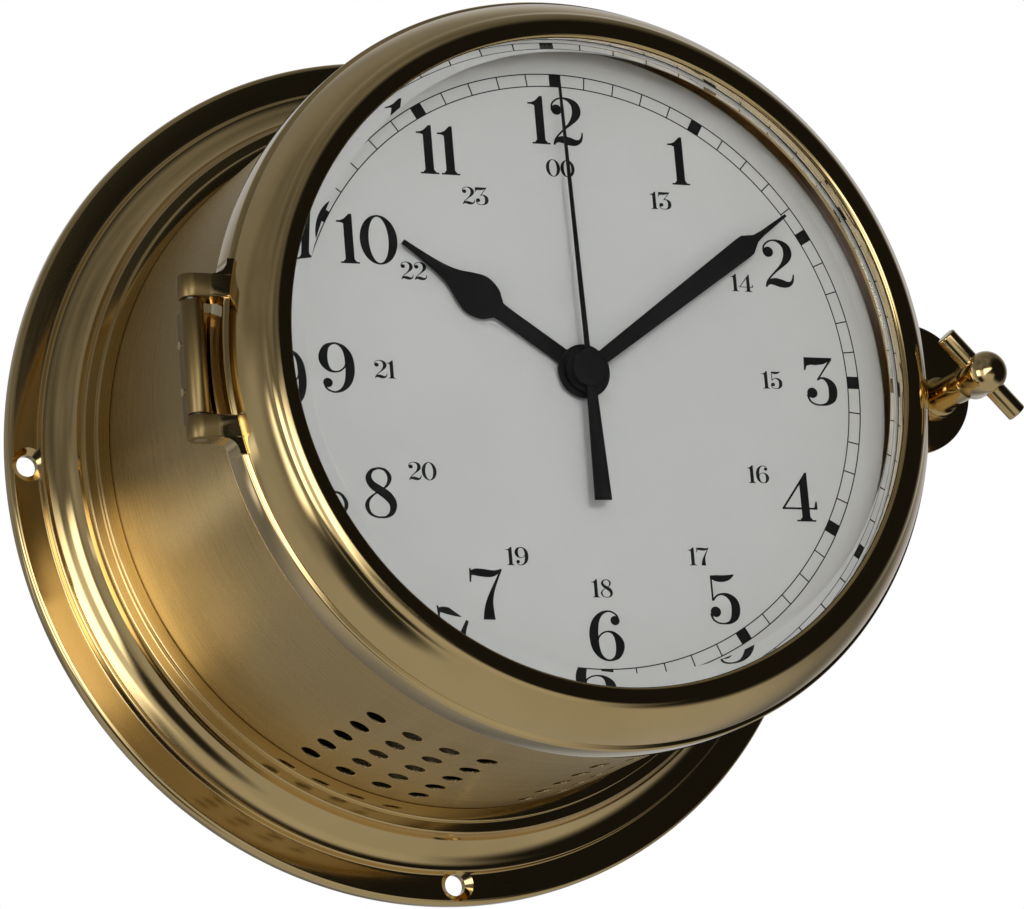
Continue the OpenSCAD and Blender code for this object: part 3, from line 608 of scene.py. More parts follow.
def eased(corners: Sequence[Tuple[float, float, float]], steps: int = 5) -> Loop:
    """A closed outline whose corners are rounded.

    Args:
        corners: each corner with the length of its rounding along the sides.
        steps: number of steps in a rounding.

    Returns:
        The outline's points.
    """
    loop: Loop = []
    count = len(corners)
    for i, (x, y, ease) in enumerate(corners):
        corner = Vector((x, y))
        if ease <= 0:
            loop.append((x, y))
            continue
        before = Vector(corners[i - 1][:2]) - corner
        after = Vector(corners[(i + 1) % count][:2]) - corner
        first = corner + before.normalized() * min(ease, before.length * MOST_EASE)
        last = corner + after.normalized() * min(ease, after.length * MOST_EASE)
        for k in range(steps + 1):
            s = k / steps
            spot = first * (1 - s) ** 2 + corner * (2 * s * (1 - s)) + last * s ** 2
            loop.append((spot.x, spot.y))
    return loop


def eased_box(sides: Point, ends: Point, eases: Sequence[float], steps: int = 3) -> Loop:
    """A rectangle with rounded corners, such as the section of a turned ring.

    Args:
        sides: where its left and right sides lie.
        ends: where its lower and upper ends lie.
        eases: the roundings of its corners, from the lower left one on.
        steps: number of steps in a rounding.

    Returns:
        The outline's points.
    """
    left, right = sides
    low, high = ends
    corners = ((left, low), (right, low), (right, high), (left, high))
    return eased([(*corner, ease) for corner, ease in zip(corners, eases)], steps)


def lug_outline(offset: float, radius: float, inner: float) -> Loop:
    """The outline of a round lug on the right of a round body.

    Args:
        offset: distance from the clock's axis to the lug's centre.
        radius: the lug's radius.
        inner: radius of the arc about the clock's axis that closes the lug.

    Returns:
        The outline's points.
    """
    disc = [p for p in circle((offset, 0.0), radius, 96) if math.hypot(*p) > inner]
    rim = sorted(disc, key=lambda p: math.atan2(p[1], p[0] - offset))
    low, high = (math.degrees(math.atan2(p[1], p[0])) for p in (rim[0], rim[-1]))
    return rim + arc((0.0, 0.0), inner, high, low, 16)


def mesh_from(work: bmesh.types.BMesh, name: str) -> bpy.types.Mesh:
    """Turns a work mesh into a mesh.

    Args:
        work: the work mesh, which is freed.
        name: the mesh's name.

    Returns:
        The mesh.
    """
    mesh = bpy.data.meshes.new(name)
    work.to_mesh(mesh)
    work.free()
    return mesh


def put(name: str, data: bpy.types.ID) -> bpy.types.Object:
    """Puts a mesh, a lamp or a camera into the scene.

    Args:
        name: the object's name.
        data: what it shows.

    Returns:
        The object.
    """
    thing = bpy.data.objects.new(name, data)
    bpy.context.collection.objects.link(thing)
    return thing


def finish_mesh(work: bmesh.types.BMesh, name: str, crease: float = CREASE) -> bpy.types.Mesh:
    """Turns a work mesh into a smooth-shaded mesh with sharp creases.

    Args:
        work: the work mesh, which is freed.
        name: the mesh's name.
        crease: edges bent by more than this stay sharp.

    Returns:
        The mesh.
    """
    bmesh.ops.recalc_face_normals(work, faces=work.faces)
    for face in work.faces:
        face.smooth = True
    for edge in work.edges:
        if len(edge.link_faces) == 2:
            flat = [max(abs(part) for part in face.normal) > FLAT_END for face in edge.link_faces]
            limit = END_CREASE if flat[0] != flat[1] else crease
            edge.smooth = edge.calc_face_angle(0.0) <= math.radians(limit)
    return mesh_from(work, name)


def lathe(profile: Loop, centre: Point = (0.0, 0.0), segments: int = SEGMENTS) -> bmesh.types.BMesh:
    """Turns a closed profile about an axis along the depth.

    Args:
        profile: radius and depth of each point, all round the section.
        centre: where the axis stands in the front view.
        segments: number of steps round the axis.

    Returns:
        A work mesh in metres.
    """
    work = bmesh.new()
    rings: List[List[bmesh.types.BMVert]] = []
    for radius, depth in profile:
        ring = []
        for i in range(1 if radius < ON_AXIS else segments):
            a = 2 * math.pi * i / segments
            x, y = centre[0] + radius * math.cos(a), centre[1] + radius * math.sin(a)
            ring.append(work.verts.new((x * MM, y * MM, depth * MM)))
        rings.append(ring)
    for first, last in zip(rings, rings[1:] + rings[:1]):
        if len(first) == len(last) == 1:
            continue
        for i in range(segments):
            j = (i + 1) % segments
            corners = [first[i % len(first)], first[j % len(first)], last[j % len(last)], last[i % len(last)]]
            work.faces.new(list(dict.fromkeys(corners)))
    return work


def facing(loop: Sequence[Point]) -> Loop:
    """A loop in counter-clockwise order."""
    area = sum(a[0] * b[1] - b[0] * a[1] for a, b in zip(loop, list(loop[1:]) + [loop[0]]))
    return list(loop) if area > 0 else list(reversed(loop))


def plate(
    solids: Iterable[Sequence[Point]],
    holes: Iterable[Sequence[Point]],
    rear: float,
    front: float,
    edge: float = 0.0,
) -> bmesh.types.BMesh:
    """A flat piece with the joined outline of several loops, less some holes.

    Args:
        solids: loops that are joined.
        holes: loops that are taken out.
        rear: depth of its rear face.
        front: depth of its front face.
        edge: width of the bevel on its edges.

    Returns:
        A work mesh in metres.
    """
    loops = [facing(loop) for loop in solids]
    solid_count = len(loops)
    loops += [facing(loop) for loop in holes]
    spots: List[Vector] = []
    faces: List[List[int]] = []
    for loop in loops:
        faces.append(list(range(len(spots), len(spots) + len(loop))))
        spots += [Vector(p) for p in loop]
    points, _, cells, _, _, origins = delaunay_2d_cdt(spots, [], faces, 1, SAME_SPOT)
    work = bmesh.new()
    verts = [work.verts.new((p.x * MM, p.y * MM, rear * MM)) for p in points]
    for cell, origin in zip(cells, origins):
        if origin and all(i < solid_count for i in origin):
            work.faces.new([verts[i] for i in cell])
    loose = [v for v in work.verts if not v.link_faces]
    bmesh.ops.delete(work, geom=loose, context="VERTS")
    bmesh.ops.dissolve_limit(work, angle_limit=STRAIGHT, verts=work.verts, edges=work.edges)
    grown = bmesh.ops.extrude_face_region(work, geom=list(work.faces))
    top = [item for item in grown["geom"] if isinstance(item, bmesh.types.BMVert)]
    bmesh.ops.translate(work, verts=top, vec=(0.0, 0.0, (front - rear) * MM))
    bmesh.ops.recalc_face_normals(work, faces=work.faces)
    if edge > 0:
        soften(work, edge)
    return work


def soften(work: bmesh.types.BMesh, width: float) -> None:
    """Bevels the edges of a plate.

    Args:
        work: its work mesh.
        width: the bevel's width.
    """
    bent = math.radians(BEVEL_FROM)
    sharp = [e for e in work.edges if len(e.link_faces) == 2 and e.calc_face_angle(0.0) > bent]
    bmesh.ops.bevel(
        work, geom=sharp, offset=width * MM, segments=2, profile=0.5, affect="EDGES", clamp_overlap=True
    )


def joined(parts: Sequence[bmesh.types.BMesh]) -> bmesh.types.BMesh:
    """Puts several work meshes into one.

    Args:
        parts: the work meshes, which are freed.

    Returns:
        The work mesh of them all.
    """
    whole = bmesh.new()
    for part in parts:
        mesh = mesh_from(part, "part")
        whole.from_mesh(mesh)
        bpy.data.meshes.remove(mesh)
    return whole


def moved(work: bmesh.types.BMesh, matrix: Matrix) -> bmesh.types.BMesh:
    """Moves a work mesh and returns it."""
    bmesh.ops.transform(work, matrix=matrix, verts=work.verts)
    return work


def laid(angle: float, spot: Sequence[float]) -> Matrix:
    """Lays a turned piece flat at a spot, so that its axis points at an angle in the front view."""
    turn = Matrix.Rotation(math.radians(angle), 4, "Z") @ Matrix.Rotation(math.pi / 2, 4, "Y")
    return Matrix.Translation([part * MM for part in spot]) @ turn


def upright(side: int = 1) -> Matrix:
    """Stands a plate up, so that its depth runs up the clock, or down it for side -1."""
    return Matrix(((1, 0, 0, 0), (0, 0, side, 0), (0, 1, 0, 0), (0, 0, 0, 1)))


def carved(body: bmesh.types.BMesh, cutter: bmesh.types.BMesh) -> bmesh.types.BMesh:
    """Takes one work mesh out of another.

    Args:
        body: what is cut.
        cutter: what is taken out.

    Returns:
        The cut work mesh.
    """
    objects = []
    for name, work in (("body", body), ("cutter", cutter)):
        bmesh.ops.recalc_face_normals(work, faces=work.faces)
        objects.append(put(name, mesh_from(work, name)))
    change = objects[0].modifiers.new("cut", "BOOLEAN")
    change.operation = "DIFFERENCE"
    change.solver = "EXACT"
    change.object = objects[1]
    graph = bpy.context.evaluated_depsgraph_get()
    result = bmesh.new()
    result.from_object(objects[0], graph)
    for thing in objects:
        mesh = thing.data
        bpy.data.objects.remove(thing)
        bpy.data.meshes.remove(mesh)
    return result


class Workshop:
    """Puts finished pieces on their bodies."""

    def __init__(self, finishes: Finishes) -> None:
        """Keeps the materials."""
        self.finishes = finishes

    def fit(
        self,
        name: str,
        work: bmesh.types.BMesh,
        body: Body,
        slot: Slot,
        stands_for: Sequence[str] = (),
        crease: float = CREASE,
    ) -> bpy.types.Object:
        """Makes a piece from a work mesh in the clock's own axes.

        Args:
            name: the piece's name.
            work: its work mesh.
            body: the body that it rides on.
            slot: the slot of its finish.
            stands_for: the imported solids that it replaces.
            crease: edges bent by more than this stay sharp.

        Returns:
            The piece.
        """
        piece = put(name, finish_mesh(work, name, crease))
        piece.data.materials.append(self.finishes.by_slot[slot])
        piece.rotation_euler = (math.pi / 2, 0.0, 0.0)
        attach(piece, body.value)
        if stands_for:
            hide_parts(*stands_for)
        LOG.info("%s rides on %s with %d faces", name, body.value, len(piece.data.polygons))
        return piece


@dataclass
class WallFlange:
    """The turned flange that is screwed to the wall."""

    radius: float = 90.0
    band: float = 3.0
    edge_round: float = 1.2
    rear_chamfer: float = 0.3
    step_radius: float = 83.4
    step_depth: float = 4.4
    step_run: float = 0.4
    lead: float = 0.6
    lead_rise: float = 0.05
    cove_lead: float = 0.5
    cove_radius: float = 76.9
    cove_depth: float = 11.1
    ledge_radius: float = 74.7
    ledge_depth: float = 11.5
    collar_depth: float = 12.8
    bore: float = DRUM_FIT
    screw_circle: float = 85.75
    screw_bore: float = 2.2
    sink_radius: float = 3.5
    screws: int = 4
    overshoot: float = 1.0

    def profile(self) -> Loop:
        """The section of the flange.

        Returns:
            Radius and depth of its points.
        """
        rounded = (self.radius - self.edge_round, self.band - self.edge_round)
        cove_radii = (self.step_radius - self.cove_radius, self.cove_depth - self.step_depth)
        rear = [(self.bore, 0.0), (self.radius - self.rear_chamfer, 0.0), (self.radius, self.rear_chamfer)]
        step = eased([
            (self.step_radius + 2 * self.lead, self.band, 0.0),
            (self.step_radius + self.step_run, self.band, 0.25),
            (self.step_radius, self.step_depth, 0.3),
            (self.step_radius - self.lead, self.step_depth + self.lead_rise, 0.0),
        ])[:-1]
        collar = eased([
            (self.cove_radius, self.cove_depth - self.cove_lead, 0.0),
            (self.cove_radius, self.ledge_depth, 0.4),
            (self.ledge_radius, self.ledge_depth, 0.15), (self.ledge_radius, self.collar_depth, 0.4),
            (self.bore, self.collar_depth, 0.2), (self.bore, 0.0, 0.0),
        ])[:-1]
        edge = arc(rounded, self.edge_round, 0.0, 90.0, 10)
        cove = arc((self.step_radius, self.cove_depth), cove_radii, 268.0, 188.0, 40)
        return rear + edge + step + cove + collar

    def build(self, shop: Workshop) -> None:
        """Makes the flange with its countersunk holes.

        Args:
            shop: where its pieces are fitted.
        """
        over = self.overshoot
        sink = self.sink_radius - self.screw_bore
        drill = [
            (0.0, -over), (self.screw_bore, -over), (self.screw_bore, self.band - sink),
            (self.sink_radius + over, self.band + over), (0.0, self.band + over),
        ]
        spots = [polar(self.screw_circle, i * 360.0 / self.screws) for i in range(self.screws)]
        drills = [lathe(drill, spot, 40) for spot in spots]
        work = carved(lathe(self.profile()), joined(drills))
        shop.fit("wall_flange_turned", work, Body.CASE, Slot.POLISHED, ["wall_flange"])


@dataclass
class Drum:
    """The brushed drum with its two groups of sound holes."""

    radius: float = DRUM_RADIUS
    bore: float = 70.4
    rear: float = 1.0
    front: float = 76.0
    hole_radius: float = 2.05
    countersink: float = 0.1
    hole_edge: float = 0.25
    flare: float = 3.6
    columns: int = 4
    rows: int = 5
    column_step: float = 6.4
    row_step: float = 8.55
    row_first: float = 19.8
    group_offset: float = 9.5
    centre_angle: float = -92.0
    overshoot: float = 2.0

    def drill(self, angle: float, depth: float) -> bmesh.types.BMesh:
        """One drill that points outwards through the drum's wall.

        Args:
            angle: where it points.
            depth: how far it is from the wall.

        Returns:
            Its work mesh.
        """
        inside = self.bore - self.overshoot
        outside = self.radius + self.overshoot
        sink = self.radius - self.countersink
        edge = self.hole_radius + self.countersink
        section = [
            (0.0, inside), (self.flare, inside), (self.flare, self.bore),
            (self.hole_radius, sink - self.hole_edge), (self.hole_radius, sink),
            (edge + self.overshoot, outside), (0.0, outside),
        ]
        return moved(lathe(section, segments=28), laid(angle, (0.0, 0.0, depth)))

    def build(self, shop: Workshop) -> None:
        """Makes the drum.

        Args:
            shop: where its pieces are fitted.
        """
        section = eased_box((self.bore, self.radius), (self.rear, self.front), (0.1, 0.1, 0.25, 0.1))
        drills = []
        for side in (-1, 1):
            for column in range(self.columns):
                angle = self.centre_angle + side * (self.group_offset + column * self.column_step)
                for row in range(self.rows):
                    drills.append(self.drill(angle, self.row_first + row * self.row_step))
        work = carved(lathe(section), joined(drills))
        shop.fit("drum_brushed", work, Body.CASE, Slot.SATIN, ["case_drum"])


@dataclass
class Bezel:
    """The hinged bezel ring with its lugs, and the glass that it holds."""

    radius: float = 74.35
    rear: float = 76.8
    band_front: float = 83.6
    groove_radius: float = 72.75
    groove_rear: float = 84.0
    groove_front: float = 84.35
    shoulder: Point = (73.55, 84.45)
    flank_bulge: float = 0.5
    crest_centre: Point = (66.6, 90.0)
    crest_round: float = 3.0
    lip_centre: Point = (64.8, 92.0)
    lip_round: float = 0.9
    undercut: Point = (65.0, 88.2)
    glass_bore: float = 66.5
    glass_shoulder: float = 87.0
    retainer_bore: float = 67.55
    retainer_front: float = 85.3
    hinge_offset: float = HINGE_OFFSET
    hinge_depth: float = HINGE_DEPTH
    hinge_half: float = 11.25
    lug_height: float = 4.5
    lug_round: float = 2.6
    lug_fillet: float = 3.0
    lug_inset: float = 4.0
    fillet_reach: float = 1.2
    fillet_overlap: float = 1.0
    fillet_recess: float = 0.05
    lug_edge: float = 0.3
    lock_angle: float = LOCK_ANGLE
    lock_offset: float = LOCK_OFFSET
    lock_lug_offset: float = LUG_OFFSET
    lock_lug_radius: float = 13.4
    lock_lug_front: float = 78.3
    lock_lug_inset: float = 2.0
    lock_lug_edge: float = 0.35
    lock_hole: float = 3.3
    glass_radius: float = 66.2
    glass_rear: float = 85.5
    glass_front: float = 91.9
    glass_bevel: float = 5.0
    glass_slope: float = 48.0
    glass_crease: float = 20.0
    segments: int = 320

    def flank_end(self) -> float:
        """The angle at which the flank touches the crest's round."""
        reach = Vector(self.shoulder) - Vector(self.crest_centre)
        return math.degrees(math.atan2(reach.y, reach.x) + math.acos(self.crest_round / reach.length))

    def flank(self) -> Loop:
        """The slightly swollen flank, from the shoulder to the crest's round.

        Returns:
            Radius and depth of its points, without the ends.
        """
        foot = Vector(self.shoulder)
        along = Vector(self.crest_centre) + Vector(polar(self.crest_round, self.flank_end())) - foot
        outwards = Vector((along.y, -along.x)).normalized() * self.flank_bulge
        shares = [i / 12 for i in range(1, 12)]
        return [tuple(foot + along * s + outwards * (4 * s * (1 - s))) for s in shares]

    def profile(self) -> Loop:
        """The section of the ring.

        Returns:
            Radius and depth of its points.
        """
        flank = self.flank()
        rear = eased([
            (self.retainer_bore, self.retainer_front, 0.1), (self.retainer_bore, self.rear, 0.2),
            (self.radius, self.rear, 0.5), (self.radius, self.band_front, 0.5),
            (self.groove_radius, self.groove_rear, 0.15), (self.groove_radius, self.groove_front, 0.15),
            (*self.shoulder, 0.5), (*flank[0], 0.0), (self.glass_bore, self.retainer_front, 0.0),
        ])[:-2]
        crest = arc(self.crest_centre, self.crest_round, self.flank_end(), 90.0, 24)
        lip = arc(self.lip_centre, self.lip_round, 92.0, 180.0)
        seat = [self.undercut, (self.glass_bore, self.glass_shoulder), (self.glass_bore, self.retainer_front)]
        return rear + flank + crest + lip + seat

    def hinge_lug(self, side: int) -> bmesh.types.BMesh:
        """One hinge lug with a half-round end, and its fillet into the ring.

        Args:
            side: 1 for the upper lug and -1 for the lower one.

        Returns:
            Its work mesh.
        """
        root = -self.radius + self.lug_inset
        rear, front = self.hinge_depth - self.lug_round, self.hinge_depth + self.lug_round
        end = arc((-self.hinge_offset, self.hinge_depth), self.lug_round, 270.0, 90.0, 20)
        bar = plate([end + [(root, front), (root, rear)]], [], 0.0, self.lug_height, self.lug_edge)
        bar = moved(bar, Matrix.Translation((0.0, side * self.hinge_half * MM, 0.0)) @ upright(side))
        outer = self.hinge_half + self.lug_height
        inner = outer - self.fillet_overlap
        start = -self.radius - self.fillet_reach
        curve = arc((start, outer + self.lug_fillet), self.lug_fillet, 270.0, 360.0, 10)
        outline = curve + [(root, outer + self.lug_fillet), (root, inner), (start, inner)]
        outline = [(x, side * y) for x, y in outline]
        web = plate([outline], [], rear + self.fillet_recess, front - self.fillet_recess)
        return joined([bar, web])

    def lock_lug(self) -> bmesh.types.BMesh:
        """The rounded lug that the lock screw presses on.

        Returns:
            Its work mesh.
        """
        outline = lug_outline(self.lock_lug_offset, self.lock_lug_radius, self.radius - self.lock_lug_inset)
        hole = circle(polar(self.lock_offset, self.lock_angle), self.lock_hole)
        return plate([outline], [hole], self.rear, self.lock_lug_front, self.lock_lug_edge)

    def build(self, shop: Workshop) -> None:
        """Makes the ring, its lugs and the glass.

        Args:
            shop: where its pieces are fitted.
        """
        ring = lathe(self.profile(), segments=self.segments)
        shop.fit("bezel_ring_turned", ring, Body.BEZEL, Slot.POLISHED, ["bezel_ring"])
        lugs = joined([self.hinge_lug(1), self.hinge_lug(-1)])
        shop.fit("bezel_hinge_lugs", lugs, Body.BEZEL, Slot.POLISHED, ["bezel_ring"])
        shop.fit("bezel_lock_lug", self.lock_lug(), Body.BEZEL, Slot.POLISHED, ["bezel_ring"])
        drop = self.glass_bevel * math.tan(math.radians(self.glass_slope))
        section = [
            (0.0, self.glass_rear), (self.glass_radius, self.glass_rear),
            (self.glass_radius, self.glass_front - drop),
            (self.glass_radius - self.glass_bevel, self.glass_front), (0.0, self.glass_front),
        ]
        work = lathe(section, segments=self.segments)
        glass = shop.fit("crystal_bevelled", work, Body.BEZEL, Slot.GLASS, ["crystal"], self.glass_crease)
        glass.visible_shadow = False


@dataclass
class Hinge:
    """The bracket on the drum that carries the hinge pin."""

    offset: float = HINGE_OFFSET
    depth: float = HINGE_DEPTH
    half: float = 10.9
    barrel: float = 2.2
    web_out: float = 79.0
    web_in: float = 77.0
    foot_rear: float = 73.0
    foot_front: float = 75.5
    drum_radius: float = DRUM_FIT
    barrel_edge: float = 0.25
    web_edge: float = 0.3

    def build(self, shop: Workshop) -> None:
        """Makes the bracket: a barrel, a web and a foot.

        Args:
            shop: where its pieces are fitted.
        """
        side = circle((-self.offset, self.depth), self.barrel, 40)
        barrel = plate([side], [], -self.half, self.half, self.barrel_edge)
        angle = [
            (-self.web_out, self.foot_rear), (-self.drum_radius, self.foot_rear),
            (-self.drum_radius, self.foot_front), (-self.web_in, self.foot_front),
            (-self.web_in, self.depth), (-self.web_out, self.depth),
        ]
        web = plate([angle], [], -self.half, self.half, self.web_edge)
        work = moved(joined([barrel, web]), upright())
        shop.fit("hinge_bracket_bent", work, Body.CASE, Slot.POLISHED, ["hinge_bracket"])


@dataclass
class LockScrew:
    """The T-bar screw that clamps the bezel, and the lug on the drum that it screws into."""

    angle: float = LOCK_ANGLE
    offset: float = LOCK_OFFSET
    tip: float = 72.7
    tip_chamfer: float = 0.5
    thread: float = 2.4
    play: float = 0.05
    washer_rear: float = 78.35
    washer_front: float = 79.15
    collar: float = 4.1
    collar_chamfer: float = 0.2
    collar_band: float = 0.75
    cove_foot: float = 0.9
    collar_front: float = 82.55
    stem: float = 3.2
    neck_rise: float = 0.6
    head_rear: float = 92.8
    head: float = 4.1
    head_ease: Point = (0.15, 0.2)
    head_front: float = 98.6
    dome: float = 3.3
    bar_depth: float = 96.4
    bar_radius: float = 2.0
    bar_length: float = 21.0
    bar_end_round: float = 0.35
    bar_tilt: float = 47.0
    lug_offset: float = LUG_OFFSET
    lug_radius: float = 11.4
    lug_rear: float = 72.4
    lug_front: float = 76.3
    lug_edge: float = 0.35
    lug_play: float = 0.5
    drum_radius: float = DRUM_FIT
    segments: int = 96

    def screw(self) -> bmesh.types.BMesh:
        """The turned screw with its collar and domed head.

        Returns:
            Its work mesh.
        """
        rear, front = self.washer_front, self.collar_front
        shank = [
            (0.0, self.tip), (self.thread - self.tip_chamfer, self.tip),
            (self.thread, self.tip + self.tip_chamfer),
            (self.thread, rear + self.play), (self.collar - self.collar_chamfer, rear + self.play),
            (self.collar, rear + self.play + self.collar_chamfer), (self.collar, rear + self.collar_band),
        ]
        cove_radii = (self.collar - self.stem, front - rear - self.cove_foot)
        cove = arc((self.collar, front), cove_radii, 268.0, 180.0, 14)
        neck = [
            (self.stem, self.head_rear - self.neck_rise),
            (self.head - self.head_ease[0], self.head_rear - self.play),
            (self.head, self.head_rear + self.head_ease[1]),
        ]
        dome = arc((0.0, self.head_front), (self.head, self.dome), 0.0, 90.0, 22)
        return lathe(shank + cove + neck + dome, polar(self.offset, self.angle), self.segments)

    def bar(self) -> bmesh.types.BMesh:
        """The round bar through the head, with softly rounded ends.

        Returns:
            Its work mesh.
        """
        half = self.bar_length / 2
        edge = self.bar_end_round
        low = arc((self.bar_radius - edge, -half + edge), edge, 270.0, 360.0, 6)
        high = arc((self.bar_radius - edge, half - edge), edge, 0.0, 90.0, 6)
        section = [(0.0, -half)] + low + high + [(0.0, half)]
        spot = (*polar(self.offset, self.angle), self.bar_depth)
        return moved(lathe(section, segments=64), laid(-self.bar_tilt, spot))

    def lug(self) -> bmesh.types.BMesh:
        """The lug on the drum.

        Returns:
            Its work mesh.
        """
        outline = lug_outline(self.lug_offset, self.lug_radius, self.drum_radius)
        hole = circle(polar(self.offset, self.angle), self.thread + self.lug_play)
        return plate([outline], [hole], self.lug_rear, self.lug_front, self.lug_edge)

    def build(self, shop: Workshop) -> None:
        """Makes the screw, its bar, its washer and the lug.

        Args:
            shop: where its pieces are fitted.
        """
        shop.fit("lock_screw_turned", self.screw(), Body.SCREW, Slot.POLISHED, ["thumbscrew"])
        shop.fit("lock_bar_round", self.bar(), Body.SCREW, Slot.POLISHED, ["thumbscrew_bar"])
        radii = (self.thread + self.play, self.collar)
        section = eased_box(radii, (self.washer_rear, self.washer_front), (0.1, 0.15, 0.15, 0.1))
        washer = lathe(section, polar(self.offset, self.angle), self.segments)
        shop.fit("lock_washer_turned", washer, Body.COLLAR, Slot.POLISHED, ["lock_washer"])
        shop.fit("drum_lock_lug", self.lug(), Body.CASE, Slot.POLISHED, ["case_lock_lug"])


@dataclass(frozen=True)
class Stroke:
    """A pen stroke: a smooth line through points that also give the pen's width there."""

    points: Tuple[Tuple[float, float, float], ...]
    steps: int = 6
    thinnest: float = 0.012

    def _spot(self, i: int) -> Vector:
        """A point by number, held at the ends."""
        return Vector(self.points[min(max(i, 0), len(self.points) - 1)])

    def line(self) -> List[Vector]:
        """Points along the stroke with their widths, on a Catmull-Rom curve.

        Returns:
            The points, both ends included.
        """
        made: List[Vector] = []
        for i in range(len(self.points) - 1):
            p0, p1, p2, p3 = (self._spot(i + k) for k in (-1, 0, 1, 2))
            for k in range(self.steps):
                s = k / self.steps
                made.append(0.5 * (
                    2 * p1 + (p2 - p0) * s + (2 * p0 - 5 * p1 + 4 * p2 - p3) * s ** 2
                    + (3 * p1 - p0 - 3 * p2 + p3) * s ** 3
                ))
        return made + [self._spot(len(self.points) - 1)]

    def loops(self) -> List[Loop]:
        """The stroke as a chain of four-sided loops.

        Returns:
            Its loops.
        """
        line = self.line()
        sides: List[Tuple[Point, Point]] = []
        for i, spot in enumerate(line):
            ahead = line[min(i + 1, len(line) - 1)] - line[max(i - 1, 0)]
            across = Vector((-ahead.y, ahead.x)).normalized() * (max(spot.z, self.thinnest) / 2)
            sides.append(((spot.x + across.x, spot.y + across.y), (spot.x - across.x, spot.y - across.y)))
        return [[a[0], a[1], b[1], b[0]] for a, b in zip(sides, sides[1:])]


